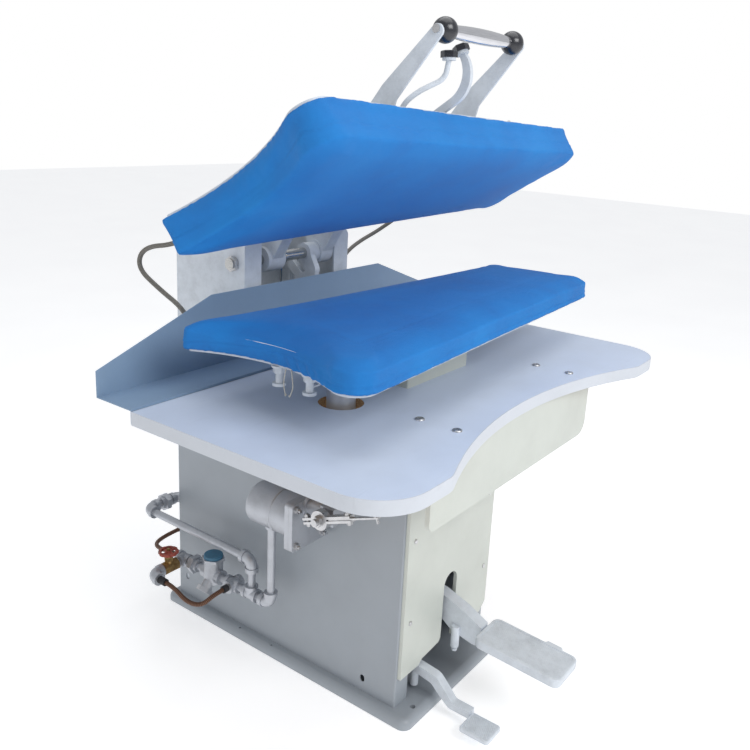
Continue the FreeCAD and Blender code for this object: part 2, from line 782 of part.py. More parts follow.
def handle():
    grip_y, grip_z = -585, 1225
    arm_x, plate = 175, 6
    arms = []
    for side in (-1, 1):
        plan = [(grip_y - 14, grip_z + 13, 13), (-415, 1204, 60), (-330, 1176, 60), (-262, 1126, 10),
                (-262, HEAD_TOP),
                (-392, HEAD_TOP), (-404, 1138, 20), (-428, 1158, 20), (grip_y - 12, grip_z - 15, 13)]
        start = side * arm_x - plate / 2
        body = padded("side", [plan], start, plate)
        pocket(body, "side", [("circle", grip_y, grip_z, 5)], start - 1, plate + 2, reverse=True)
        arms.append(body)
    raise_head(keep(group(*arms), "handle_arms"))
    half, edge = 118, 13
    barrel = revolved([[(0, -half), (edge, -half), ("via", 17, 0), (edge, half), (0, half)]])
    barrel.Placement = Placement(Vector(0, grip_y, grip_z), TURN["x"])
    raise_head(keep(barrel, "grip_bar"))
    balls, screws = [], []
    for side, along in ((-1, "-x"), (1, "x")):
        centre = side * 145
        flat = block((min(side * 171.8, side * 200), grip_y - 40, grip_z - 40), (28.2, 80, 80))
        trimmed = cut(ball((centre, grip_y, grip_z), 27), flat,
                      rod((side * 100, grip_y, grip_z), 17.2, 18, along))
        balls.append(trimmed)
        screws.append(rod((side * 172, grip_y, grip_z), 5, 9, along))
        screws.append(rod((side * 178, grip_y, grip_z), 9, 3, along))
    raise_head(keep(group(*balls), "grip_balls"))
    return [fuse(*screws[:2]), fuse(*screws[2:])]


LEVER_Y, LEVER_Z = -365, 1136


def thumb_levers():
    """Two bent levers in front of the handle that work the head's steam; each has a knob."""
    ears = [block((-140, LEVER_Y - 20, HEAD_TOP), (148, 40, 4))]
    for x in (-140, -107.5, -22.5, 2):
        ears.append(block((x, LEVER_Y - 11, HEAD_TOP), (6, 22, LEVER_Z + 11 - HEAD_TOP)))
    bracket = cut(fuse(*ears), rod((-150, LEVER_Y, LEVER_Z), 5, 200, "x"))
    pin = rod((-140, LEVER_Y, LEVER_Z), 5, 148, "x")
    raise_head(keep(group(bracket, pin), "thumb_lever_bracket"))
    bore = 5.05
    route = [(-120.5, LEVER_Y, LEVER_Z), (-120.5, -412, 1164), (-104, -446, 1171), (-62, -496, 1174),
             (-60, -522, 1203)]
    stem = doc.addObject("Part::Feature", "stem")
    stem.Shape = tube_along(route, 6)
    curve = [(-541, 1216), ("via", -534, 1166), (-470, 1129), (LEVER_Y + 8, LEVER_Z - 7, 6),
             (LEVER_Y + 8, LEVER_Z + 10, 6), (-462, 1147), ("via", -516, 1176), (-527, 1216)]
    strap = padded("side", [curve], -16, 12)
    for name, arm, hub_x, hub_length, (x, y, z), lean in (
        ("left", stem, -133.5, 25.5, (-60, -523, 1204), 30),
        ("right", strap, -16, 17.5, (-10, -534, 1216.3), 8),
    ):
        tilt = Placement(Vector(x, y, z), Rotation(Vector(1, 0, 0), lean))
        washer = rod((0, 0, -2), 15, 6)
        knob = rounded(nut((0, 0, 4), 33, 15), 3, level_at(19))
        light, dark = group(washer), group(knob)
        light.Placement = dark.Placement = tilt
        hub = rod((hub_x, LEVER_Y, LEVER_Z), 11, hub_length, "x")
        lever = cut(fuse(arm, hub, light), rod((hub_x - 5, LEVER_Y, LEVER_Z), bore, 60, "x"))
        raise_head(keep(lever, f"thumb_lever_{name}"))
        raise_head(keep(dark, f"thumb_knob_{name}"))


def head_hardware(grip_screws):
    """Bolts on top of the head, the grip's end screws and the unions where the two steam hoses start."""
    bolts = [fuse(rod((x, y, HEAD_TOP), 9, 2), nut((x, y, HEAD_TOP + 2), 16, 8))
             for x, y in ((-330, -448), (330, -405), (-40, -425))]
    blocks = []
    for x, y in ((-330, -70), (500, -130)):
        blocks.append(fuse(block((x - 14, y, HEAD_TOP), (28, 30, 22)), rod((x, y + 30, 1129.3), 8, 25, "y"),
                           nut((x, y + 33, 1129.3), 22, 12, "y")))
    raise_head(keep(group(*bolts, *blocks, *grip_screws), "head_hardware"))


def head_hoses():
    left_start, left_next = opened([(-330, -14.7, 1129.3), (-330, 52, 1129.3)])
    right_start, right_next = opened([(500, -74.7, 1129.3), (500, 0, 1129.3)])
    routes = {
        "left": [left_start, left_next, (-366, 218, 1126), (-384, 326, 1108), (-384, 352, 1052),
                 (-372, 282, 1006), (-345, 226, 962), (-312, 232, 902), (-284, 258, 852), (-266, 262, 812),
                 (-266, 262, 776)],
        "right": [right_start, right_next, (494, 150, 1160), (453, 228, 1090), (384, 244, 1062),
                  (314, 240, 1036), (268, 244, 984), (262, 252, 912), (266, 262, 840), (266, 262, 776)],
    }
    for name, route in routes.items():
        shaped(f"head_hose_{name}", tube_along(route, 6))
    elbows = []
    for side, along in ((-1, "-x"), (1, "x")):
        wall = side * size("cabinet_width") / 2
        turn_x = side * 250
        elbows.append(fuse(
            rod((wall, 262, 740), 14, 5, along), rod((wall, 262, 740), 8, abs(turn_x - wall), along),
            quarter((turn_x, 262, 756), (0, 0, -1), (side, 0, 0), 16, 8), rod((side * 266, 262, 756), 8, 20),
            nut((side * 266, 262, 758), 22, 12)))
    return elbows


# ---------------------------------------------------------------- pedals

SHAFT_R = 12


def main_pedal():
    y, z = size("pedal_y"), size("pedal_z")
    low = size("base_height")
    plates = []
    for x in (-42, 101):
        plate = [(y - 62, low), (y + 62, low), (y + 24, z + 28, 14), (y - 24, z + 28, 14)]
        plates.append(padded("side", [plate], x, 10))
    foot = block((-42, y - 62, low), (153, 124, 8))
    stand = cut(fuse(*plates, foot), rod((-60, y, z), SHAFT_R, 200, "x"))
    keep(group(stand, rod((-48, y, z), SHAFT_R, 165, "x")), "pedal_stand")
    front = [(y + 20, z - 22, 12), (y + 14, z + 26, 16), (-380, 255, 60), (-446, 233, 40), (-505.8, 204),
             (-505.8, 175.6), (-600, 170), (-600, 160, 6), (-484, 147, 30), (-419, 161, 40), (-379, 189, 40)]
    arm = padded("side", [front], -11.5, 35)
    pin_y, pin_z = size("rod_y"), z - 20.3
    rear = [(y - 16, z + 24, 14), (pin_y + 16, pin_z + 16, 14), (pin_y + 18, pin_z - 17, 14),
            (y - 14, z - 25, 14)]
    lever = padded("side", [rear], 58, 18.5)
    sleeve = rod((-24, y, z), 24, 110, "x")
    boss = rod((-15, -435, 122), 11, 60)
    stop = [rod((-15, -435, 112), 4.5, 12), nut((-15, -435, 110), 13, 7)]
    pin = rod((60, pin_y, pin_z), 8, 38, "x")
    bore = rod((-60, y, z), SHAFT_R + 0.05, 200, "x")
    keep(cut(fuse(arm, lever, sleeve, boss, pin, *stop), bore), "main_pedal_arm")
    tread_plate()
    push_rod(pin_y, pin_z)


def tread_plate():
    half, length, thick, corner = 60, 235, 24, 20
    lug_front, lug_back, lug = -186, -146, 9
    plan = [(-half, -length, corner), (half, -length, corner), (half, lug_front - 4),
            (half + lug, lug_front, 3), (half + lug, lug_back, 3), (half, lug_back + 4),
            (half, 0, corner), (-half, 0, corner)]
    body = padded("top", [plan], -thick, thick)
    rim = 9
    side, end = half - rim, rim - length
    inner = [(-side, end, 12), (side, end, 12), (side, -rim, 12), (-side, -rim, 12)]
    soften(body, 4, lambda e: level_at(0)(e) or level_at(-thick)(e))
    pocket(body, "top", [inner], 1, 2.5)
    body.Placement = Placement(Vector(6, -508, 200), Rotation(Vector(1, 0, 0), 3.4))
    keep(body, "main_pedal_tread")


def push_rod(y, z):
    """The upright rod from the pedal's rear pin to the yoke's rear pin."""
    top = size("pivot_z") - 70 * math.sin(math.radians(size("head_angle") / 2))
    x, wide = 77.5, 18.5
    eyes = [rod((x, y, z), 18, wide, "x"), rod((x, y, top), 19, wide, "x")]
    pieces = eyes + [rod((x + wide / 2, y, z), 9, top - z)]
    keep(cut(fuse(*pieces), rod((x, y, z), 8.05, wide, "x"), rod((x, y, top), 10.6, wide, "x")), "push_rod")


def small_pedal():
    """The vacuum pedal: it stands low at the left of the main pedal."""
    y, z = size("small_pedal_y"), size("small_pedal_z")
    low = size("base_height")
    cheeks = [block((x, y - 24, low), (7, 48, z + 20 - low)) for x in (-139, -93)]
    bracket = cut(fuse(*cheeks, block((-139, y - 24, low), (53, 48, 7))), rod((-150, y, z), 8, 90, "x"))
    keep(group(bracket, rod((-142, y, z), 8, 59, "x")), "small_pedal_bracket")
    plan = [(y + 16, z - 14, 10), (y + 16, z + 8, 8), (-392, 105.5, 60), (-451, 99, 30), (-487, 64, 20),
            (-502, 48, 14), (-553, 47), (-553, 28), (-494, 28, 18), (-470, 46, 20), (-438, 74, 24),
             (-390, 82, 60)]
    arm = padded("side", [plan], -125, 25)
    hub = rod((-131, y, z), 20, 37, "x")
    boss = rod((-112, -379, 37), 11, 50)
    stop = nut((-112, -379, 34.4), 13, 3)
    keep(cut(fuse(arm, hub, boss, stop), rod((-150, y, z), 8.05, 90, "x")), "small_pedal_arm")
    plate = [(-175, -633, 8), (-105, -633, 8), (-105, -553.2, 8), (-175, -553.2, 8)]
    tread = padded("top", [plate], 27.5, 10.5)
    soften(tread, 2.5, level_at(38))
    pocket(tread, "top", [[(-170, -628, 4), (-110, -628, 4), (-110, -558, 4), (-170, -558, 4)]], 39, 2.2)
    keep(tread, "small_pedal_tread")


# ---------------------------------------------------------------- steam piping

def pipe_run(at, length, along):
    return rod(at, "steam_pipe / 2", length, along)


FITTING = 15.5
COLLAR = 18


def pipe_elbow(corner, one, other):
    """A threaded elbow whose two mouths face away from its corner along two directions."""
    bend = 22
    u, v = Vector(*one), Vector(*other)
    centre = Vector(*corner) + (u + v) * bend
    pieces = [quarter(tuple(centre), tuple(-v), tuple(-u), bend, FITTING)]
    for way in (u, v):
        pieces.append(collar(Vector(*corner) + way * bend, way, COLLAR, 12))
    return fuse(*pieces)


def collar(at, way, radius, length):
    feature = doc.addObject("Part::Cylinder", "collar")
    feature.Radius = radius
    feature.Height = length
    feature.Placement = Placement(at, Rotation(Vector(0, 0, 1), way))
    return feature


def pipe_tee(middle, ways):
    """A tee or cross: a round middle with a collared mouth for each way."""
    reach = 24
    pieces = [ball(tuple(middle), FITTING)]
    for way in ways:
        direction = Vector(*way)
        pieces.append(collar(Vector(*middle), direction, FITTING, reach))
        pieces.append(collar(Vector(*middle) + direction * (reach - 10), direction, COLLAR, 10))
    return fuse(*pieces)


def union(at, along, length=34):
    """A pipe union: a wide hexagon between two collars."""
    x, y, z = at
    step = {"x": (1, 0, 0), "y": (0, 1, 0)}[along]
    def place(distance):
        return (x + step[0] * distance, y + step[1] * distance, z + step[2] * distance)
    return fuse(rod(at, COLLAR, length, along), nut(place(length * 0.3), 46, length * 0.4, along))


def steam_pipes():
    x, z = size("line_x"), size("line_z")
    high, rear, front, tail = 308, 465, 39, -31
    pipes = [
        pipe_run((x, front + 22, high), rear - front - 44, "y"),
        pipe_run((x, front, z + 14), high - z - 28, "z"),
        pipe_run((x, tail, z + 14), size("valve_z") - 54 - z - 14, "z"),
        pipe_run((x + 14, rear, high), -170 - x - 28, "x"),
        pipe_run((-170, size("cabinet_back"), high), rear - 14 - size("cabinet_back"), "y"),
        pipe_run((x, tail + 14, z), 305 - tail - 28, "y"),
        pipe_run((-400 + 14, 305, z), x - 14 + 400 - 14, "x"),
    ]
    fittings = [
        pipe_elbow((x, rear, high), (0, -1, 0), (1, 0, 0)),
        pipe_elbow((x, front, high), (0, 1, 0), (0, 0, -1)),
        pipe_elbow((x, tail, z), (0, 1, 0), (0, 0, 1)),
        pipe_elbow((-170, rear, high), (-1, 0, 0), (0, -1, 0)),
        pipe_tee((x, front, z), ((0, 1, 0), (0, -1, 0), (0, 0, 1))),
        pipe_tee((x, 107, z), ((0, 1, 0), (0, -1, 0), (-1, 0, 0), (1, 0, 0))),
        pipe_tee((x, 305, z), ((0, -1, 0), (-1, 0, 0), (0, 1, 0))),
        pipe_elbow((-400, 305, z), (1, 0, 0), (0, -1, 0)),
        union((-240, rear, high), "x"), union((x, 244, z), "y"),
    ]
    keep(group(*pipes), "steam_pipes")
    keep(group(*[cut(fitting, *pipes) for fitting in fittings]), "steam_fittings")


def trap():
    """The float trap: a pot over the pipe with a blue cap, and a strainer plug at its lower side."""
    x, y, z = size("line_x"), 186, size("line_z")
    pot = cut(fuse(rod((x, y, z - 22), 26, 66), nut((x, y, z + 44), 56, 8), rod((x, y - 34, z), 20, 68, "y")),
              rod((x, y - 80, z), "steam_pipe / 2", 200, "y"))
    hexagon = group(nut((0, 0, 0), 42, 12))
    hexagon.Placement = Placement(Vector(x - 28, y, z - 32), Rotation(Vector(0, 0, 1), Vector(-1, 0, -1)))
    neck = collar(Vector(x - 14, y, z - 18), Vector(-1, 0, -1), 17, 20)
    plug = cut(fuse(neck, hexagon), rod((x, y, z - 40), 26.2, 100))
    keep(group(pot, plug), "trap_pot")
    keep(rounded(rod((x, y, z + 52), 26, 9), 2.5, level_at(z + 61)), "trap_cap")


def globe_valve():
    """A brass valve in the drain branch, with a red handwheel."""
    x, y, z = -342, 305, size("line_z")
    barrel = rod((x - 12, y, z), 17, 24, "x")
    ends = [nut((x - 23.8, y, z), 32, 12, "x"), nut((x + 12, y, z), 32, 14, "x")]
    bonnet = [rod((x, y, z), 11, 36), nut((x, y, z + 20), 22, 9)]
    bores = [rod((x - 60, y, z), "steam_pipe / 2", 120, "x"), rod((x, y, z + 15), 4.05, 60)]
    keep(cut(fuse(barrel, *ends, *bonnet), *bores), "globe_valve")
    wheel_z = z + 46
    keep(fuse(rod((x, y, z + 16), 4, 40), nut((x, y, wheel_z + 5.2), 9, 4)), "valve_stem")
    handwheel(x, y, wheel_z)


def handwheel(x, y, z):
    """A cast wheel: a scalloped rim, four spokes and a hub."""
    outer, inner, thick = 28, 20, 8
    low, high = z - thick / 2, z + thick / 2
    disc = rounded(rod((x, y, low), outer, thick), 2.5, lambda e: level_at(low)(e) or level_at(high)(e))
    tools = [rod((x, y, low - 1), inner, thick + 2)]
    for i in range(8):
        angle = math.radians(45 * i + 22.5)
        tools.append(rod((x + 34 * math.cos(angle), y + 34 * math.sin(angle), low - 1), 9, thick + 2))
    spokes = [rod((x, y, z), 3, inner + 3, along) for along in ("x", "-x", "y", "-y")]
    hub = rod((x, y, z - 6), 9, 11)
    keep(cut(fuse(cut(disc, *tools), *spokes, hub), rod((x, y, z - 10), 4, 30)), "handwheel")


def drain_hoses():
    """The short hose after the drain valve and the return hose, which ends in a fitting."""
    x, z = size("line_x"), size("line_z")
    route = [(-400, 246, z), (-400, 214, z), (-397, 168, z - 26), (-385, 124, z - 26), (-354, 107, z),
             (x - 39, 107, z)]
    shaped("drain_hose", tube_along(route, 6))
    sleeves = [sleeve_on((-400, 271, z), (0, -1, 0), 25), sleeve_on((x - 24, 107, z), (-1, 0, 0), 15)]
    keep(group(*sleeves), "hose_sleeves")
    end = (-160, 483, z - 24)
    back_route = [(x, 329, z), (x, 360, z), (x + 3, 420, z - 14), (-262, 466, z - 22),
                  (-206, 483, z - 24), end]
    shaped("return_hose", tube_along(back_route, 6))
    return fuse(rod(end, 9, 26, "x"), nut((-152, 483, z - 24), 24, 12, "x"))


def sleeve_on(at, way, length):
    return collar(Vector(*at), Vector(*way), 10, length)


def steam_valve():
    x, z = size("line_x"), size("valve_z")
    back, front = size("valve_back"), size("valve_front")
    flange = 63
    def plate(radius, depth_from, depth):
        h = flange
        return padded("front", [[(x - h, z - h, radius), (x + h, z - h, radius), (x + h, z + h, radius),
                                 (x - h, z + h, radius)]], depth_from, depth)
    drum = rounded(rod((x, front + 13, z), 55, back + 12 - front - 13, "y"), 8,
                   lambda e: abs(e.BoundBox.YMin - back - 12) < 0.1 and e.BoundBox.YLength < 0.01)
    rib = ring((x, -70, z), 54, 3, "y")
    neck = rod((x, -31, z - 64), 16, 30)
    riser = rod((x, -31, z - 70), "steam_pipe / 2", 16)
    keep(cut(fuse(drum, rib, neck, plate(10, -front - 13, 13)), riser), "valve_body")
    places = [(x + sx * 48, z + sz * 48) for sx in (-1, 1) for sz in (-1, 1)]
    cover = plate(10, 0.3 - front, 12)
    pocket(cover, "front", [("circle", *p, 5) for p in places], -front - 1, 20, reverse=True)
    face = front - 12.3
    bolts = []
    for px, pz in places:
        washer, hexagon = rod((px, face, pz), 9, 2, "-y"), nut((px, face - 2, pz), 15, 7, "-y")
        tip, shank = rod((px, face - 9, pz), 4.5, 5, "-y"), rod((px, front - 0.3, pz), 4.5, 12, "-y")
        bolts.append(fuse(washer, hexagon, tip, shank))
    keep(group(*bolts), "valve_cover_bolts")
    lever_y, lever_z = -228, 535
    bonnet = cut(fuse(rod((x, face, lever_z), 20, abs(lever_y - face), "-y"),
                      rod((x, face, lever_z), 28, 8, "-y"),
                      block((x - 22, lever_y - 20, lever_z - 22), (44, 40, 44))),
                 rod((x - 30, lever_y, lever_z), 9.05, 60, "x"))
    keep(fuse(cover, bonnet), "valve_cover")
    valve_lever(x, lever_y, lever_z)


def valve_lever(x, y, z):
    """The quick-opening lever: two straps clamped on the spindle and an end bar between them."""
    lean = Placement(Vector(0, y, z), Rotation(Vector(1, 0, 0), -21))
    def lean_over(feature, label):
        feature.Placement = lean
        keep(feature, label)
    left = x - 50
    straps = []
    for low in (2.1, -8.1):
        straps.append(block((left, 14, low), (18, 38, 6)))
        straps.append(block((left, -98, low), (18, 84, 6)))
    hub = rod((left, 0, 0), 24, 18, "x")
    clamp = cut(fuse(hub, *straps), rod((left - 1, 0, 0), 9, 20, "x"), rod((left + 9, 44, -30), 4, 60),
                rod((left + 9, -86, -30), 4, 60))
    end_bar = cut(block((left + 3, -178, -2), (12, 150, 4)), rod((left + 9, -86, -30), 4, 60),
                  rod((left + 9, -170, -30), 3, 60))
    lean_over(group(clamp, end_bar), "valve_lever")
    bolts = [rod((left - 18, 0, 0), 9, 84, "x")]
    for at in (44, -86):
        middle = left + 9
        nuts = [nut((middle, at, 8.2), 13, 6), nut((middle, at, -14.2), 13, 6)]
        bolts.append(fuse(rod((middle, at, -16), 4, 32), *nuts))
    bolts.append(fuse(rod((left + 9, -170, -14), 3, 26), rod((left + 9, -170, 2.2), 5.5, 5)))
    bolts.append(cut(fuse(rod((left - 0.2, 0, 0), 14, 2, "-x"), nut((left - 2.2, 0, 0), 24, 8, "-x")),
                     rod((left - 11, 0, 0), 9, 12, "x")))
    lean_over(group(*bolts), "valve_spindle")


def build():
    base_plate()
    cabinet_shell()
    front_cover()
    fasteners = cover_screws()
    worktop()
    fasteners += worktop_supports()
    apron()
    garment_tray()
    fasteners += tower()
    keep(group(*fasteners), "casing_fasteners")
    balance_rod()
    buck()
    buck_supports()
    vacuum_line()
    cleats()
    head()
    yoke()
    grip_screws = handle()
    thumb_levers()
    head_hardware(grip_screws)
    elbows = head_hoses()
    main_pedal()
    small_pedal()
    steam_pipes()
    trap()
    globe_valve()
    tail = drain_hoses()
    keep(group(*elbows, tail), "hose_fittings")
    steam_valve()


def write_parts():
    doc.recompute()
    for feature in doc.Objects:
        if "Invalid" in feature.State or "Error" in feature.State:
            raise RuntimeError(f"{feature.Name} ({feature.Label}) is {feature.State}")
    os.makedirs("parts", exist_ok=True)
    for feature in nodes:
        shape = feature.Shape
        if shape.isNull() or not shape.isValid() or not shape.Solids:
            raise RuntimeError(f"{feature.Label} has no valid solid")
        shape.exportStep(f"parts/{feature.Label}.step")
    print(f"{len(nodes)} nodes")


build()
write_parts()
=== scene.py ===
import json
import math

import bmesh
import bpy
import numpy as np
from mathutils import Matrix, Vector


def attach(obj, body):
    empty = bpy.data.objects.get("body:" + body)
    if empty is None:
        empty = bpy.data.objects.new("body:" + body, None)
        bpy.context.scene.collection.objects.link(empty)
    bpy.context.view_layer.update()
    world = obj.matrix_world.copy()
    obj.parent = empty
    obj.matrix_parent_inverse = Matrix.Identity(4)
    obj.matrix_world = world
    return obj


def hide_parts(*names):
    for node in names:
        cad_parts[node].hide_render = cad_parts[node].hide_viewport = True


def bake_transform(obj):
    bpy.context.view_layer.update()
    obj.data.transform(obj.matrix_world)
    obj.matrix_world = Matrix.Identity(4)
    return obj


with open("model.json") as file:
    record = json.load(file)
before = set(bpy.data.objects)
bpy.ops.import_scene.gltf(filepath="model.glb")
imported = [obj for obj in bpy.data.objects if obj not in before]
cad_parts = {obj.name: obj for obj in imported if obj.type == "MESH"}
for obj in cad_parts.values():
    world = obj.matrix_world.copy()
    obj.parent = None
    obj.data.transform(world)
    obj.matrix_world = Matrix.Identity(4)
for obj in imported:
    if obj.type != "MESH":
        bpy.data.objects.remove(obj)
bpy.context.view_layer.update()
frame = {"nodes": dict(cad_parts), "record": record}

nodes = frame["nodes"]


# ---------------------------------------------------------------- camera

def make_camera():
    azimuth, elevation, roll = (math.radians(a) for a in (-54.12, 15.25, 2.97))
    back = Vector((math.sin(azimuth) * math.cos(elevation), -math.cos(azimuth) * math.cos(elevation),
                   math.sin(elevation)))
    level_right = Vector((math.cos(azimuth), math.sin(azimuth), 0))
    level_up = back.cross(level_right)
    right = level_right * math.cos(roll) + level_up * math.sin(roll)
    up = level_up * math.cos(roll) - level_right * math.sin(roll)
    matrix = Matrix((right, up, back)).transposed().to_4x4()
    matrix.translation = (-1.67425, -1.35566, 1.46445)
    data = bpy.data.cameras.new("camera")
    data.sensor_width = 36
    data.lens = 39.8
    data.shift_x = -0.0116
    data.shift_y = -0.0519
    camera = bpy.data.objects.new("camera", data)
    camera.matrix_world = matrix
    bpy.context.scene.collection.objects.link(camera)
    bpy.context.scene.camera = camera


# ---------------------------------------------------------------- meshes

def add(name, mesh, material, smooth=True):
    mesh.materials.clear()
    mesh.materials.append(material)
    for polygon in mesh.polygons:
        polygon.use_smooth = smooth
    obj = bpy.data.objects.new(name, mesh)
    bpy.context.scene.collection.objects.link(obj)
    return obj


def smooth_line(name, route):
    """The points of a NURBS spline whose control points are the route's, given in millimetres."""
    curve = bpy.data.curves.new(name + "_line", "CURVE")
    curve.dimensions = "3D"
    curve.resolution_u = 14
    spline = curve.splines.new("NURBS")
    spline.points.add(len(route) - 1)
    for point, at in zip(spline.points, route):
        point.co = (at[0] / 1000, at[1] / 1000, at[2] / 1000, 1)
    spline.order_u = 3
    spline.use_endpoint_u = True
    obj = bpy.data.objects.new(name + "_line", curve)
    mesh = bpy.data.meshes.new_from_object(obj)
    line = [vertex.co.copy() for vertex in mesh.vertices]
    bpy.data.objects.remove(obj)
    bpy.data.curves.remove(curve)
    bpy.data.meshes.remove(mesh)
    return line


def tube_mesh(name, line, radius, sides=20, closed=False):
    """A tube along a line of points, with u round it and v along it."""
    count = len(line)
    tangents = []
    for i in range(count):
        before, after = (i - 1, (i + 1) % count) if closed else (max(i - 1, 0), min(i + 1, count - 1))
        tangents.append((line[after] - line[before]).normalized())
    normal = tangents[0].orthogonal().normalized()
    vertices, travelled, along = [], 0.0, []
    for i, (point, tangent) in enumerate(zip(line, tangents)):
        normal = (normal - tangent * normal.dot(tangent)).normalized()
        side = tangent.cross(normal)
        if i:
            travelled += (point - line[i - 1]).length
        along.append(travelled)
        for j in range(sides):
            angle = 2 * math.pi * j / sides
            vertices.append(point + (normal * math.cos(angle) + side * math.sin(angle)) * radius)
    faces, uvs = [], []
    rows = count if closed else count - 1
    for i in range(rows):
        after = (i + 1) % count
        for j in range(sides):
            k = (j + 1) % sides
            faces.append((i * sides + j, i * sides + k, after * sides + k, after * sides + j))
            low = along[i]
            high = along[after] if after else travelled + (line[0] - line[-1]).length
            uvs += [(j / sides, low), ((j + 1) / sides, low), ((j + 1) / sides, high), (j / sides, high)]
    if not closed:
        faces.append(tuple(reversed(range(sides))))
        faces.append(tuple(range((count - 1) * sides, count * sides)))
        uvs += [(0, 0)] * (2 * sides)
    mesh = bpy.data.meshes.new(name)
    mesh.from_pydata(vertices, [], faces)
    layer = mesh.uv_layers.new(name="tube")
    layer.data.foreach_set("uv", np.array(uvs, np.float32).ravel())
    mesh.update()
    return mesh


# ---------------------------------------------------------------- materials

class Paint:
    """A node-based material, built up in small steps."""

    def __init__(self, name, metallic=0.0, coat=0.0, sheen=0.0, coords="Object"):
        self.material = bpy.data.materials.new(name)
        self.material.use_nodes = True
        self.tree = self.material.node_tree
        self.shader = self.tree.nodes["Principled BSDF"]
        self.shader.inputs["Metallic"].default_value = metallic
        self.shader.inputs["Coat Weight"].default_value = coat
        self.shader.inputs["Coat Roughness"].default_value = 0.25
        self.shader.inputs["Sheen Weight"].default_value = sheen
        self.shader.inputs["Sheen Roughness"].default_value = 0.4
        self.where = self.tree.nodes.new("ShaderNodeTexCoord").outputs[coords]

    def node(self, kind, **values):
        made = self.tree.nodes.new("ShaderNode" + kind)
        for name, value in values.items():
            setattr(made, name, value)
        return made

    def stretched(self, scale):
        mapping = self.node("Mapping")
        mapping.inputs["Scale"].default_value = scale
        self.tree.links.new(self.where, mapping.inputs["Vector"])
        return mapping.outputs["Vector"]

    def noise(self, scale, detail=4.0, roughness=0.55, stretch=None):
        made = self.node("TexNoise")
        made.inputs["Scale"].default_value = scale
        made.inputs["Detail"].default_value = detail
        made.inputs["Roughness"].default_value = roughness
        source = self.stretched(stretch) if stretch else self.where
        self.tree.links.new(source, made.inputs["Vector"])
        return made.outputs["Fac"]

    def wave(self, scale, direction, distortion=0.0, profile="SIN"):
        made = self.node("TexWave", bands_direction=direction, wave_profile=profile)
        made.inputs["Scale"].default_value = scale
        made.inputs["Distortion"].default_value = distortion
        self.tree.links.new(self.where, made.inputs["Vector"])
        return made.outputs["Fac"]

    def math(self, operation, a, b):
        made = self.node("Math", operation=operation)
        for socket, value in zip(made.inputs, (a, b)):
            if isinstance(value, (int, float)):
                socket.default_value = value
            else:
                self.tree.links.new(value, socket)
        return made.outputs[0]

    def ramp(self, source, stops):
        made = self.node("ValToRGB")
        elements = made.color_ramp.elements
        while len(elements) < len(stops):
            elements.new(0.5)
        for element, (position, colour) in zip(elements, stops):
            element.position = position
            element.color = (*colour, 1)
        self.tree.links.new(source, made.inputs["Fac"])
        return made.outputs["Color"]

    def ranged(self, source, low, high, start=0.3, end=0.7):
        made = self.node("MapRange")
        for name, value in (("From Min", start), ("From Max", end), ("To Min", low), ("To Max", high)):
            made.inputs[name].default_value = value
        self.tree.links.new(source, made.inputs["Value"])
        return made.outputs["Result"]

    def mixed(self, factor, one, other, blend="MIX"):
        made = self.node("Mix", data_type="RGBA", blend_type=blend)
        for socket, value in ((made.inputs[0], factor), (made.inputs[6], one), (made.inputs[7], other)):
            if isinstance(value, (int, float)):
                socket.default_value = value
            elif isinstance(value, tuple):
                socket.default_value = (*value, 1)
            else:
                self.tree.links.new(value, socket)
        return made.outputs[2]

    def bump(self, *layers):
        """Each layer is a height source, its strength and its depth in metres."""
        normal = None
        for height, strength, distance in layers:
            made = self.node("Bump")
            made.inputs["Strength"].default_value = strength
            made.inputs["Distance"].default_value = distance
            self.tree.links.new(height, made.inputs["Height"])
            if normal:
                self.tree.links.new(normal, made.inputs["Normal"])
            normal = made.outputs["Normal"]
        self.tree.links.new(normal, self.shader.inputs["Normal"])

    def finish(self, colour, roughness):
        self.tree.links.new(colour, self.shader.inputs["Base Color"])
        if isinstance(roughness, (int, float)):
            self.shader.inputs["Roughness"].default_value = roughness
        else:
            self.tree.links.new(roughness, self.shader.inputs["Roughness"])
        return self.material


def tone(colour, factor):
    return tuple(min(channel * factor, 1) for channel in colour)


def sprayed_paint(name, colour, rough=(0.32, 0.5), dirt=0.12, peel=0.0006, metallic=0.0, coat=0.15):
    """Sprayed enamel: a slight orange peel, soft blotches, fine specks and a little grime."""
    paint = Paint(name, metallic=metallic, coat=coat)
    blotches = paint.noise(5.0, 5.0, 0.6)
    grime = paint.noise(2.2, 8.0, 0.72)
    specks = paint.noise(420.0, 2.0, 0.5)
    base = paint.ramp(blotches, [(0.25, tone(colour, 0.93)), (0.5, colour), (0.8, tone(colour, 1.05))])
    dirty = paint.mixed(paint.ranged(grime, 0.0, dirt, 0.48, 0.78), base, tone(colour, 0.55))
    speckled = paint.mixed(paint.ranged(specks, 0.0, 0.10, 0.60, 0.72), dirty, tone(colour, 0.72))
    peel_height = paint.noise(260.0, 2.0, 0.4)
    paint.bump((peel_height, 0.25, peel), (paint.noise(14.0, 3.0), 0.12, 0.002))
    return paint.finish(speckled, paint.ranged(grime, rough[0], rough[1]))


def cast_paint(name, colour, metallic=0.0, grain=180.0, rough=(0.4, 0.62), depth=0.0012):
    """Paint over a sand casting: a pebbly skin with worn, lighter high spots."""
    paint = Paint(name, metallic=metallic, coat=0.08)
    pebbles = paint.noise(grain, 4.0, 0.6)
    patches = paint.noise(24.0, 6.0, 0.65)
    base = paint.ramp(patches, [(0.3, tone(colour, 0.84)), (0.55, colour), (0.78, tone(colour, 1.08))])
    worn = paint.mixed(paint.ranged(pebbles, 0.0, 0.35, 0.55, 0.75), base, tone(colour, 1.12))
    paint.bump((pebbles, 0.4, depth), (patches, 0.2, 0.003))
    return paint.finish(worn, paint.ranged(patches, rough[0], rough[1]))


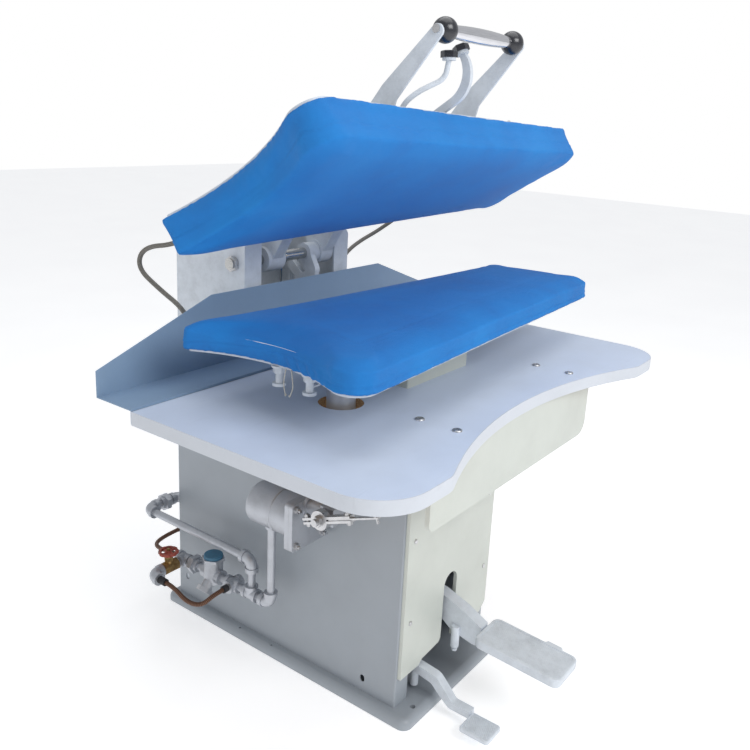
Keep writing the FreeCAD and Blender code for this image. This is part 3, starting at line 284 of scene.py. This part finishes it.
def bare_metal(name, colour, rough=(0.16, 0.34), grain=(30.0, 30.0, 900.0), tarnish=0.25):
    paint = Paint(name, metallic=1.0)
    brushed = paint.noise(1.0, 3.0, 0.6, stretch=grain)
    stain = paint.noise(38.0, 6.0, 0.7)
    base = paint.ramp(brushed, [(0.3, tone(colour, 0.86)), (0.7, tone(colour, 1.06))])
    stained = paint.mixed(paint.ranged(stain, 0.0, tarnish, 0.5, 0.75), base, tone(colour, 0.5))
    paint.bump((brushed, 0.12, 0.0004), (stain, 0.1, 0.0008))
    return paint.finish(stained, paint.ranged(stain, rough[0], rough[1], 0.35, 0.75))


def cotton_cloth(name):
    """Dyed twill pulled tight over felt: warp and weft threads, slubs and faded high spots."""
    paint = Paint(name, sheen=0.12)
    paint.shader.inputs["Sheen Tint"].default_value = (0.45, 0.65, 1.0, 1)
    warp = paint.wave(520.0, "X", 0.6)
    weft = paint.wave(520.0, "Y", 0.6)
    rise = paint.wave(520.0, "Z", 0.6)
    threads = paint.math("MAXIMUM", paint.math("MAXIMUM", warp, weft), rise)
    slubs = paint.noise(1.0, 3.0, 0.6, stretch=(60.0, 700.0, 700.0))
    faded = paint.noise(4.5, 5.0, 0.6)
    base = paint.ramp(faded, [(0.3, (0.003, 0.124, 0.430)), (0.52, (0.004, 0.170, 0.520)),
                              (0.75, (0.014, 0.218, 0.590))])
    woven = paint.mixed(paint.ranged(threads, 0.0, 0.30, 0.35, 0.95), base, (0.018, 0.262, 0.680))
    slubbed = paint.mixed(paint.ranged(slubs, 0.0, 0.22, 0.52, 0.72), woven, (0.002, 0.088, 0.330))
    paint.bump((threads, 0.35, 0.0005), (slubs, 0.25, 0.0006), (paint.noise(34.0, 4.0, 0.6), 0.35, 0.0022))
    return paint.finish(slubbed, paint.ranged(faded, 0.78, 0.94))


def braided(name, colour, across, along, metallic=0.0):
    """A braid on a tube: two families of strands wound the opposite ways round it."""
    paint = Paint(name, metallic=metallic, coords="UV")
    split = paint.node("SeparateXYZ")
    paint.tree.links.new(paint.where, split.inputs[0])
    turn = paint.math("MULTIPLY", split.outputs[0], 2 * math.pi * across)
    travel = paint.math("MULTIPLY", split.outputs[1], along)
    one = paint.math("SINE", paint.math("ADD", turn, travel), 0.0)
    other = paint.math("SINE", paint.math("SUBTRACT", turn, travel), 0.0)
    strands = paint.math("MAXIMUM", one, other)
    stain = paint.noise(35.0, 5.0, 0.6)
    # The ramp paints shade into the grooves between the strands and a highlight on their crowns.
    base = paint.ramp(strands, [(0.1, tone(colour, 0.35)), (0.75, colour), (1.0, tone(colour, 1.3))])
    dirty = paint.mixed(paint.ranged(stain, 0.0, 0.5), base, tone(colour, 0.5))
    paint.bump((strands, 0.6, 0.0007))
    return paint.finish(dirty, 0.55)


def ribbed_hose(name, colour):
    paint = Paint(name, metallic=0.55, coords="UV")
    split = paint.node("SeparateXYZ")
    paint.tree.links.new(paint.where, split.inputs[0])
    rings = paint.math("SINE", paint.math("MULTIPLY", split.outputs[1], 1500.0), 0.0)
    stain = paint.noise(30.0, 5.0, 0.6)
    # The ramp paints shade into the troughs between the rings and a highlight on their crests.
    base = paint.ramp(rings, [(0.05, tone(colour, 0.45)), (0.7, colour), (1.0, tone(colour, 1.35))])
    dirty = paint.mixed(paint.ranged(stain, 0.0, 0.55), base, tone(colour, 0.35))
    paint.bump((rings, 0.7, 0.0008))
    return paint.finish(dirty, paint.ranged(stain, 0.35, 0.6))


def chipboard(name):
    paint = Paint(name)
    cells = paint.node("TexVoronoi", feature="F1")
    cells.inputs["Scale"].default_value = 420.0
    paint.tree.links.new(paint.stretched((1.0, 1.0, 2.4)), cells.inputs["Vector"])
    chips = paint.ramp(cells.outputs["Color"], [(0.1, (0.20, 0.095, 0.035)), (0.5, (0.43, 0.25, 0.11)),
                                                (0.9, (0.60, 0.42, 0.22))])
    stain = paint.noise(30.0, 4.0)
    coloured = paint.mixed(paint.ranged(stain, 0.0, 0.4), chips, (0.16, 0.07, 0.03))
    paint.bump((cells.outputs["Distance"], 0.6, 0.001))
    return paint.finish(coloured, 0.85)


def laminate(name, colour, rough):
    """Pressed laminate with a fine stipple, a faint mottle and a few scuffs."""
    paint = Paint(name)
    stipple = paint.noise(900.0, 2.0, 0.5)
    mottle = paint.noise(7.0, 6.0, 0.62)
    scuffs = paint.noise(1.0, 5.0, 0.7, stretch=(9.0, 70.0, 20.0))
    base = paint.ramp(mottle, [(0.28, tone(colour, 0.94)), (0.55, colour), (0.8, tone(colour, 1.05))])
    scuffed = paint.mixed(paint.ranged(scuffs, 0.0, 0.16, 0.60, 0.75), base, tone(colour, 0.66))
    dotted = paint.mixed(paint.ranged(stipple, 0.0, 0.14, 0.5, 0.75), scuffed, tone(colour, 0.82))
    paint.bump((stipple, 0.25, 0.0003), (mottle, 0.05, 0.002))
    return paint.finish(dotted, paint.ranged(mottle, rough - 0.07, rough + 0.1))


def moulded(name, colour, rough, coat=0.0):
    paint = Paint(name, coat=coat)
    grain = paint.noise(300.0, 3.0, 0.5)
    worn = paint.noise(40.0, 6.0, 0.65)
    base = paint.ramp(worn, [(0.3, tone(colour, 0.85)), (0.75, tone(colour, 1.5))])
    paint.bump((grain, 0.15, 0.0004), (worn, 0.1, 0.001))
    return paint.finish(base, paint.ranged(worn, rough, rough + 0.18))


def worn_red(name):
    """Red enamel chipped to dull iron along the wheel's high spots."""
    paint = Paint(name, coat=0.1)
    chips = paint.noise(130.0, 6.0, 0.7)
    patches = paint.noise(40.0, 4.0)
    base = paint.ramp(patches, [(0.3, (0.22, 0.035, 0.022)), (0.7, (0.42, 0.075, 0.045))])
    chipped = paint.mixed(paint.ranged(chips, 0.0, 0.9, 0.57, 0.62), base, (0.16, 0.12, 0.10))
    paint.bump((chips, 0.4, 0.0008))
    return paint.finish(chipped, paint.ranged(chips, 0.4, 0.7))


def cast_brass(name):
    paint = Paint(name, metallic=0.9)
    tarnish = paint.noise(55.0, 7.0, 0.7)
    base = paint.ramp(tarnish, [(0.3, (0.10, 0.062, 0.028)), (0.5, (0.33, 0.21, 0.085)),
                                (0.75, (0.60, 0.43, 0.19))])
    paint.bump((paint.noise(220.0, 4.0), 0.35, 0.0008))
    return paint.finish(base, paint.ranged(tarnish, 0.55, 0.3))


def make_materials():
    return {
        "grey_green_paint": sprayed_paint("grey_green_paint", (0.320, 0.352, 0.388)),
        "cream_paint": sprayed_paint("cream_paint", (0.555, 0.582, 0.535)),
        "light_grey_paint": cast_paint("light_grey_paint", (0.640, 0.685, 0.740), rough=(0.35, 0.55),
                                       depth=0.0007),
        "blue_grey_paint": sprayed_paint("blue_grey_paint", (0.225, 0.325, 0.455), rough=(0.42, 0.58),
                                         dirt=0.2),
        "silver_paint": cast_paint("silver_paint", (0.50, 0.52, 0.56), metallic=0.75, grain=260.0,
                                   rough=(0.34, 0.5)),
        "red_paint": worn_red("red_paint"),
        "laminate": laminate("laminate", (0.590, 0.665, 0.800), 0.42),
        "edging": laminate("edging", (0.60, 0.63, 0.68), 0.5),
        "chipboard": chipboard("chipboard"),
        "polished_steel": bare_metal("polished_steel", (0.56, 0.56, 0.55)),
        "zinc_steel": bare_metal("zinc_steel", (0.62, 0.62, 0.63), rough=(0.24, 0.42)),
        "chrome": bare_metal("chrome", (0.80, 0.80, 0.83), rough=(0.05, 0.14), tarnish=0.08),
        "blue_cloth": cotton_cloth("blue_cloth"),
        "cotton": braided("cotton", (0.78, 0.75, 0.67), 3.0, 2600.0),
        "braided_hose": braided("braided_hose", (0.26, 0.245, 0.22), 8.0, 1300.0, metallic=0.4),
        "copper_hose": ribbed_hose("copper_hose", (0.235, 0.120, 0.075)),
        "black_rubber": moulded("black_rubber", (0.018, 0.018, 0.021), 0.55),
        "black_plastic": moulded("black_plastic", (0.010, 0.011, 0.016), 0.14, coat=0.5),
        "blue_plastic": moulded("blue_plastic", (0.045, 0.150, 0.245), 0.45),
        "brass": cast_brass("brass"),
    }


def paint_nodes():
    slots = {part["node"]: part["material_slot"] for part in frame["record"]["subparts"]}
    for name, node in nodes.items():
        for i in range(len(node.material_slots)):
            node.material_slots[i].material = materials[slots[name]]


# ---------------------------------------------------------------- cords

PIVOT = (192, 1065)
HEAD_ANGLE = math.radians(33.7)

HEAD_HOSE_LEFT = [(-330, 55.7, 1233.2), (-330, 111.2, 1196.2), (-366, 218, 1126), (-384, 326, 1108),
                  (-384, 352, 1052), (-372, 282, 1006), (-345, 226, 962), (-312, 232, 902),
                  (-284, 258, 852), (-266, 262, 812), (-266, 262, 776)]
HEAD_HOSE_RIGHT = [(500, 5.8, 1266.5), (500, 67.9, 1225.0), (494, 150, 1160), (453, 228, 1090),
                   (384, 244, 1062), (314, 240, 1036), (268, 244, 984), (262, 252, 912),
                   (266, 262, 840), (266, 262, 776)]
DRAIN_HOSE = [(-400, 246, 208), (-400, 214, 208), (-397, 168, 182), (-385, 124, 182), (-354, 107, 208),
              (-324, 107, 208)]
RETURN_HOSE = [(-285, 329, 208), (-285, 360, 208), (-282, 420, 194), (-262, 466, 186), (-206, 483, 184),
               (-160, 483, 184)]
STRINGS = {
    "drawstring_left": [(-493, -262, 949.5), (-494, -258, 930), (-493, -256, 910), (-495, -264, 892)],
    "drawstring_right": [(-492, -276, 949.5), (-493, -280, 930), (-492, -282, 910), (-494, -274, 892)],
}


def lay_cord(node, route, radius, slot, body=None, blended=None):
    line = smooth_line(node, route)
    piece = add(node + "_piece", tube_mesh(node + "_piece", line, radius), materials[slot])
    if body:
        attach(piece, body)
    if blended:
        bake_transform(piece)
    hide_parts(node)
    return piece


def overhand_knot(name, centre, size, radius):
    """The knot at a string's end: a trefoil pulled tight."""
    line = []
    for i in range(60):
        t = 2 * math.pi * i / 60
        line.append(Vector(centre) + Vector((math.sin(t) + 2 * math.sin(2 * t), -math.sin(3 * t),
                                             math.cos(t) - 2 * math.cos(2 * t))) * size / 3)
    return add(name, tube_mesh(name, line, radius, 10, closed=True), materials["cotton"])


def make_cords():
    lay_cord("head_hose_left", HEAD_HOSE_LEFT, 0.006, "braided_hose",
             blended=("head", "stand", (-0.330, 0.100, 1.205), (-0.360, 0.240, 0.960)))
    lay_cord("head_hose_right", HEAD_HOSE_RIGHT, 0.006, "braided_hose",
             blended=("head", "stand", (0.500, 0.060, 1.230), (0.380, 0.240, 1.000)))
    lay_cord("drain_hose", DRAIN_HOSE, 0.006, "copper_hose", body="stand")
    lay_cord("return_hose", RETURN_HOSE, 0.006, "copper_hose", body="stand")
    for name, route in STRINGS.items():
        end = Vector(route[-1]) / 1000 + Vector((0, 0, 0.0025))
        knot = overhand_knot(name + "_knot", end, 0.0022, 0.0009)
        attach(knot, "stand")
        lay_cord(name, route, 0.0012, "cotton", body="stand")


# ---------------------------------------------------------------- the two pads

BACK_LEFT, BACK_RIGHT = (-572, -1), (660, -69)
FRONT_RIGHT, FRONT_LEFT = (690, -411), (-612, -505)
LEFT_HOLLOW = (-500, -255)
BACK_LEFT_RADIUS, BACK_RIGHT_RADIUS = 16, 60
FRONT_RIGHT_RADIUS, FRONT_LEFT_RADIUS = 40, 60


def circle_through(a, b, c):
    ax, ay, bx, by, cx, cy = *a, *b, *c
    d = 2 * (ax * (by - cy) + bx * (cy - ay) + cx * (ay - by))
    a2, b2, c2 = ax * ax + ay * ay, bx * bx + by * by, cx * cx + cy * cy
    x = (a2 * (by - cy) + b2 * (cy - ay) + c2 * (ay - by)) / d
    y = (a2 * (cx - bx) + b2 * (ax - cx) + c2 * (bx - ax)) / d
    return np.array((x, y)), math.hypot(ax - x, ay - y)


def unit(vector):
    return vector / np.linalg.norm(vector)


def arc_points(centre, start, end):
    """Points anticlockwise round a centre from one point to another."""
    first = math.atan2(*(start - centre)[::-1])
    sweep = (math.atan2(*(end - centre)[::-1]) - first) % (2 * math.pi)
    radius = np.linalg.norm(start - centre)
    angles = np.linspace(first, first + sweep, 14)
    return [centre + radius * np.array((math.cos(a), math.sin(a))) for a in angles]


def corner_arc(corner, arriving, leaving, radius):
    """The arc that rounds a corner between two straight edges."""
    setback = radius * math.tan(math.acos(float(arriving @ leaving)) / 2)
    start, end = corner - arriving * setback, corner + leaving * setback
    return arc_points(start + radius * np.array((-arriving[1], arriving[0])), start, end)


def hollow_corner(corner, way, centre, hollow_radius, radius):
    """The arc that rounds the corner between a straight edge and the hollow end: where it touches each."""
    line = corner + radius * np.array((-way[1], way[0])) - centre
    along, gap = line @ way, line @ line - (hollow_radius + radius) ** 2
    root = math.sqrt(along * along - gap)
    middle = centre + line + way * min((-along - root, -along + root), key=abs)
    on_edge = middle - radius * np.array((-way[1], way[0]))
    on_hollow = centre + (middle - centre) * hollow_radius / (hollow_radius + radius)
    return middle, on_edge, on_hollow


def plan_outline():
    """The pads' plan with its corners rounded, as a closed line, and the hollow left end on its own."""
    centre, radius = circle_through(FRONT_LEFT, LEFT_HOLLOW, BACK_LEFT)
    back_left, back_right, front_right, front_left = (
        np.array(p, float) for p in (BACK_LEFT, BACK_RIGHT, FRONT_RIGHT, FRONT_LEFT))
    front = unit(front_right - front_left)
    right = unit(back_right - front_right)
    back = unit(back_left - back_right)
    low_middle, low_edge, low_hollow = hollow_corner(front_left, front, centre, radius,
                                                     FRONT_LEFT_RADIUS)
    top_middle, top_edge, top_hollow = hollow_corner(back_left, back, centre, radius,
                                                     BACK_LEFT_RADIUS)
    start, end = (math.atan2(*(p - centre)[::-1]) for p in (top_hollow, low_hollow))
    hollow = [centre + radius * np.array((math.cos(a), math.sin(a))) for a in np.linspace(start, end, 40)]
    closed = hollow + arc_points(low_middle, low_hollow, low_edge)
    closed += corner_arc(front_right, front, right, FRONT_RIGHT_RADIUS)
    closed += corner_arc(back_right, right, back, BACK_RIGHT_RADIUS)
    closed += arc_points(top_middle, top_edge, top_hollow)
    return np.array(hollow), np.array(closed)


def distance_to_line(points, line):
    """Each point's distance to a line of segments, and how far along the line its foot lies, from 0 to 1."""
    best = np.full(len(points), 1e9)
    along = np.zeros(len(points))
    lengths = np.linalg.norm(np.diff(line, axis=0), axis=1)
    starts = np.concatenate(([0], np.cumsum(lengths)))
    for i in range(len(line) - 1):
        way = line[i + 1] - line[i]
        t = np.clip((points - line[i]) @ way / (way @ way), 0, 1)
        gap = np.linalg.norm(points - line[i] - t[:, None] * way, axis=1)
        nearer = gap < best
        best[nearer] = gap[nearer]
        along[nearer] = (starts[i] + t[nearer] * lengths[i]) / starts[-1]
    return best, along


def read(mesh):
    co = np.empty(len(mesh.vertices) * 3)
    mesh.vertices.foreach_get("co", co)
    return co.reshape(-1, 3)


def write(mesh, co):
    mesh.vertices.foreach_set("co", co.astype(np.float32).ravel())
    mesh.update()


def smoothstep(value, low, high):
    t = np.clip((value - low) / (high - low), 0, 1)
    return t * t * (3 - 2 * t)


def head_frame(co, opening):
    """Points of the head moved from open to closed (opening False) or from closed to open, in metres."""
    c, s = math.cos(HEAD_ANGLE), math.sin(HEAD_ANGLE) * (1 if opening else -1)
    y, z = co[:, 1] - PIVOT[0] / 1000, co[:, 2] - PIVOT[1] / 1000
    out = co.copy()
    out[:, 1] = PIVOT[0] / 1000 + c * y + s * z
    out[:, 2] = PIVOT[1] / 1000 - s * y + c * z
    return out


def apply_modifier(obj):
    depsgraph = bpy.context.evaluated_depsgraph_get()
    mesh = bpy.data.meshes.new_from_object(obj.evaluated_get(depsgraph))
    obj.modifiers.clear()
    old = obj.data
    obj.data = mesh
    bpy.data.meshes.remove(old)


def remeshed(node, name, voxel, is_head):
    """A copy of a pad's solid as one even mesh, in the closed frame."""
    mesh = nodes[node].data.copy()
    mesh.name = name
    co = read(mesh)
    write(mesh, head_frame(co, False) if is_head else co)
    obj = bpy.data.objects.new(name, mesh)
    bpy.context.scene.collection.objects.link(obj)
    modifier = obj.modifiers.new("remesh", "REMESH")
    modifier.mode = "VOXEL"
    modifier.voxel_size = voxel
    apply_modifier(obj)
    return obj


def swell(obj, pinned, travel):
    """Air pressure under the cloth, with the hem and the hidden inside held.

    No point moves further than travel."""
    start = read(obj.data)
    group = obj.vertex_groups.new(name="held")
    group.add([int(i) for i in np.flatnonzero(pinned)], 1.0, "REPLACE")
    modifier = obj.modifiers.new("cloth", "CLOTH")
    settings = modifier.settings
    settings.quality = 4
    settings.mass = 0.3
    settings.tension_stiffness = 14
    settings.compression_stiffness = 12
    settings.bending_stiffness = 1.5
    settings.use_pressure = True
    settings.uniform_pressure_force = 4
    settings.effector_weights.gravity = 0
    settings.vertex_group_mass = "held"
    modifier.collision_settings.use_collision = False
    scene = bpy.context.scene
    for step in range(1, 21):
        scene.frame_set(step)
    apply_modifier(obj)
    scene.frame_set(1)
    moved = read(obj.data) - start
    length = np.linalg.norm(moved, axis=1)
    scale = np.where(length > travel, travel / np.maximum(length, 1e-9), 1)
    write(obj.data, start + moved * scale[:, None])
    obj.vertex_groups.clear()


def even_out(mesh, rounds, factor=0.5, only=None):
    """Moves every vertex towards its neighbours' middle, which takes the voxels' steps away."""
    edges = np.empty(len(mesh.edges) * 2, np.int64)
    mesh.edges.foreach_get("vertices", edges)
    edges = edges.reshape(-1, 2)
    co = read(mesh)
    counts = np.bincount(edges.ravel(), minlength=len(co)).astype(float)
    for _ in range(rounds):
        total = np.zeros_like(co)
        for axis in range(3):
            total[:, axis] += np.bincount(edges[:, 0], co[edges[:, 1], axis], len(co))
            total[:, axis] += np.bincount(edges[:, 1], co[edges[:, 0], axis], len(co))
        target = total / np.maximum(counts, 1)[:, None]
        step = (target - co) * factor
        co = co + (step if only is None else step * only[:, None])
    write(mesh, co)


SHOULDER = 47.5  # how high the cloth stands over the hem along the buck's hollow left end, in millimetres


def cloth_height(inset, to_hollow, along_hollow, thick, sweeps_in):
    """How high the cloth stands over the hem, by its place in the plan: crowned, rounded at the edge, and
    with a ridge that sweeps in at the buck's hollow left end."""
    crowned = thick - 3 - 8 * (1 - smoothstep(inset, 0, 24)) - 4 * (1 - smoothstep(inset, 0, 120))
    if not sweeps_in:
        return crowned
    middle = np.sin(np.pi * np.clip(along_hollow, 0, 1))
    reach = 16 + 46 * middle
    shoulder = SHOULDER + (thick - 6 - SHOULDER) * smoothstep(to_hollow, 8, reach)
    shoulder -= 22 * np.clip((8 - to_hollow) / 8, 0, 1) ** 1.3
    fade = 1 - smoothstep(to_hollow, reach, reach + 12)
    blend = np.where(to_hollow < reach + 12, middle ** 0.7, 0) * fade
    return crowned * (1 - blend) + np.minimum(shoulder, crowned) * blend


def fabric_pad(node, name, body, level, far, is_head):
    """A pad's cloth: a crowned slab that is pulled in below the edge, with its seam and its gathered hem.

    level is the height of the pressing face and far that of the hem, both in millimetres with the head
    closed."""
    obj = remeshed(node, name, 0.0075 if is_head else 0.0065, is_head)
    way = 1 if level > far else -1
    thick = abs(level - far)
    hollow, outline = plan_outline()
    co = read(obj.data) * 1000
    plan = co[:, :2]
    to_hollow, along_hollow = distance_to_line(plan, hollow)
    inset, _ = distance_to_line(plan, outline)
    height = (co[:, 2] - far) * way
    face = height > thick - 3
    hidden = (inset > 10.5) & ~face
    edge = cloth_height(inset, to_hollow, along_hollow, thick, not is_head)
    top = np.where(hidden, height, np.minimum(height, edge))
    rise = np.clip(top / thick, 0, 1)
    co[:, 2] = far + way * top
    inward = np.array((40.0, -240.0)) - plan
    inward /= np.linalg.norm(inward, axis=1)[:, None]
    drawn = (2.0 + 3.5 * (1 - rise) ** 1.5) * (1 - smoothstep(inset, 4, 10)) * ~hidden
    co[:, :2] += inward * drawn[:, None]
    write(obj.data, co / 1000)
    even_out(obj.data, 5, 0.5, (~hidden & (top > 8)).astype(float))
    pinned = hidden | (top < 7)
    swell(obj, pinned, 0.006)
    even_out(obj.data, 2, 0.5, (~pinned).astype(float))
    modifier = obj.modifiers.new("finer", "SUBSURF")
    modifier.levels = modifier.render_levels = 1
    apply_modifier(obj)
    stitch(obj.data, hollow, outline, far, way, thick, is_head)
    if is_head:
        write(obj.data, head_frame(read(obj.data), True))
    obj.data.materials.clear()
    obj.data.materials.append(materials["blue_cloth"])
    for polygon in obj.data.polygons:
        polygon.use_smooth = True
    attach(obj, body)
    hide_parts(node)
    return obj


def stitch(mesh, hollow, outline, far, way, thick, is_head):
    """The seam round the side, the gathers at the hem and the pulled folds, on the finished mesh."""
    co = read(mesh) * 1000
    normals = np.empty(len(co) * 3)
    mesh.vertex_normals.foreach_get("vector", normals)
    normals = normals.reshape(-1, 3)
    plan = co[:, :2]
    to_hollow, along_hollow = distance_to_line(plan, hollow)
    inset, along = distance_to_line(plan, outline)
    at_left = smoothstep(30 - (to_hollow - inset), 0, 30)
    run = along * np.linalg.norm(np.diff(outline, axis=0), axis=1).sum()
    height = (co[:, 2] - far) * way
    side = (1 - smoothstep(inset, 9, 13)) * (np.abs(normals[:, 2]) < 0.93)
    if is_head:
        seam = 50 + 3.4 * np.sin(run / 24) * (1 - at_left) + 2.4 * np.sin(run / 10.5 + 1.3) * (1 - at_left)
    else:
        seam = 15 + 1.4 * np.sin(run / 31) + at_left * 12 * np.sin(np.pi * np.clip(along_hollow, 0, 1))
    over = height - seam
    groove = 1.1 * np.exp(-((over - 3.5) / 3.5) ** 2) - 1.5 * np.exp(-(over / 2.2) ** 2)
    wave = np.sin(run / 3.4 + 1.7 * np.sin(run / 29)) * np.sin(run / 47 + 0.6)
    gathers = 1.0 * wave * (1 - smoothstep(height, 1, 17)) * (0.35 + 0.65 * at_left)
    folds = 0.0
    if not is_head:
        pulled = np.exp(-((along_hollow - 0.72) / 0.16) ** 2) * at_left * (1 - smoothstep(height, 14, 34))
        folds = 2.2 * pulled * np.sin(run / 5.2 + height / 7)
        corner = np.exp(-((run - 560) / 130) ** 2) * (1 - at_left) * (1 - smoothstep(height, 12, 45))
        folds = folds + 0.9 * corner * np.sin(run / 15 + height / 5)
    long_waves = 0.7 * np.sin(run / 61 + 0.4) * smoothstep(height, 12, thick - 20)
    push = (groove + gathers + folds + long_waves) * side
    write(mesh, (co + normals * push[:, None]) / 1000)


# ---------------------------------------------------------------- pedals' treads

def raised_ribs(name, low, high, height, pitch, place, body, half=1.1):
    """Diagonal anti-slip ribs over a rectangle, each a small ridge with sloping sides."""
    mesh = bpy.data.meshes.new(name)
    builder = bmesh.new()
    x0, y0 = low
    x1, y1 = high
    slant = Vector((1, 1)).normalized()
    across = Vector((-slant.y, slant.x))
    middle = Vector(((x0 + x1) / 2, (y0 + y1) / 2))
    reach = math.hypot(x1 - x0, y1 - y0) / 2
    count = int(reach / pitch)
    for i in range(-count, count + 1):
        start = middle + across * (i * pitch)
        ts = []
        for value, step, bottom, top in ((start.x, slant.x, x0, x1), (start.y, slant.y, y0, y1)):
            ts.append(sorted(((bottom - value) / step, (top - value) / step)))
        begin, end = max(ts[0][0], ts[1][0]) + half, min(ts[0][1], ts[1][1]) - half
        if end - begin < 4 * half:
            continue
        rows = []
        for t, taper in ((begin, 0.0), (begin + 1.2, 1.0), (end - 1.2, 1.0), (end, 0.0)):
            at = start + slant * t
            row = []
            for offset, rise in ((-half, 0.0), (-half * 0.5, taper), (half * 0.5, taper), (half, 0.0)):
                point = at + across * offset
                row.append(builder.verts.new((point.x, point.y, -0.6 + (height + 0.6) * rise)))
            rows.append(row)
        for one, other in zip(rows, rows[1:]):
            for j in range(3):
                builder.faces.new((one[j], other[j], other[j + 1], one[j + 1]))
            builder.faces.new((one[3], other[3], other[0], one[0]))
        builder.faces.new(rows[0])
        builder.faces.new(list(reversed(rows[-1])))
    bmesh.ops.recalc_face_normals(builder, faces=builder.faces)
    builder.to_mesh(mesh)
    builder.free()
    mesh.transform(place @ Matrix.Scale(0.001, 4))
    piece = add(name, mesh, materials["light_grey_paint"], smooth=False)
    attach(piece, body)


def make_treads():
    tilt = Matrix.Translation((0.006, -0.508, 0.200)) @ Matrix.Rotation(math.radians(3.4), 4, "X")
    lowered = tilt @ Matrix.Translation((0, 0, -0.0025))
    raised_ribs("main_tread_ribs", (-50, -225), (50, -10), 1.6, 5.4, lowered, "main_pedal")
    flat = Matrix.Translation((-0.140, -0.593, 0.0368))
    raised_ribs("small_tread_ribs", (-29, -34), (29, 34), 1.2, 5.0, flat, "small_pedal")


# ---------------------------------------------------------------- surroundings

def make_floor():
    paint = Paint("floor")
    tint = paint.ramp(paint.noise(1.6, 3.0), [(0.3, (0.86, 0.86, 0.87)), (0.7, (0.90, 0.90, 0.905))])
    material = paint.finish(tint, 0.8)
    paint.shader.inputs["Emission Color"].default_value = (1, 1, 1, 1)
    paint.shader.inputs["Emission Strength"].default_value = 0.42
    mesh = bpy.data.meshes.new("floor")
    builder = bmesh.new()
    bmesh.ops.create_grid(builder, x_segments=8, y_segments=8, size=14)
    builder.to_mesh(mesh)
    builder.free()
    floor = add("floor", mesh, material, smooth=False)
    floor.location.z = -0.0005


def area_light(name, at, target, size, power, colour=(1, 1, 1)):
    data = bpy.data.lights.new(name, "AREA")
    data.shape = "RECTANGLE"
    data.size, data.size_y = size
    data.energy = power
    data.color = colour
    light = bpy.data.objects.new(name, data)
    light.location = at
    light.rotation_euler = (Vector(target) - Vector(at)).to_track_quat("-Z", "Y").to_euler()
    bpy.context.scene.collection.objects.link(light)


def make_light():
    world = bpy.data.worlds.new("world")
    world.use_nodes = True
    tree = world.node_tree
    background = tree.nodes["Background"]
    background.inputs["Color"].default_value = (0.95, 0.97, 1.0, 1)
    background.inputs["Strength"].default_value = 0.55
    backdrop = tree.nodes.new("ShaderNodeBackground")
    backdrop.inputs["Color"].default_value = (1, 1, 1, 1)
    seen = tree.nodes.new("ShaderNodeLightPath")
    mix = tree.nodes.new("ShaderNodeMixShader")
    tree.links.new(seen.outputs["Is Camera Ray"], mix.inputs[0])
    tree.links.new(background.outputs[0], mix.inputs[1])
    tree.links.new(backdrop.outputs[0], mix.inputs[2])
    tree.links.new(mix.outputs[0], tree.nodes["World Output"].inputs["Surface"])
    bpy.context.scene.world = world
    middle = (0, -0.1, 0.8)
    area_light("key", (-0.6, -3.6, 3.2), middle, (2.4, 1.8), 78)
    area_light("fill", (-3.6, 0.2, 1.6), middle, (2.0, 2.2), 7)
    area_light("over", (0.3, -0.2, 3.8), middle, (3.0, 2.4), 33)
    bpy.context.scene.view_settings.view_transform = "Standard"


make_camera()
materials = make_materials()
make_cords()
paint_nodes()
fabric_pad("buck_pad", "buck_cover", "stand", 1013, 950, False)
fabric_pad("head_pad", "head_cover", "head", 1013.6, 1113, True)
make_treads()
make_floor()
make_light()
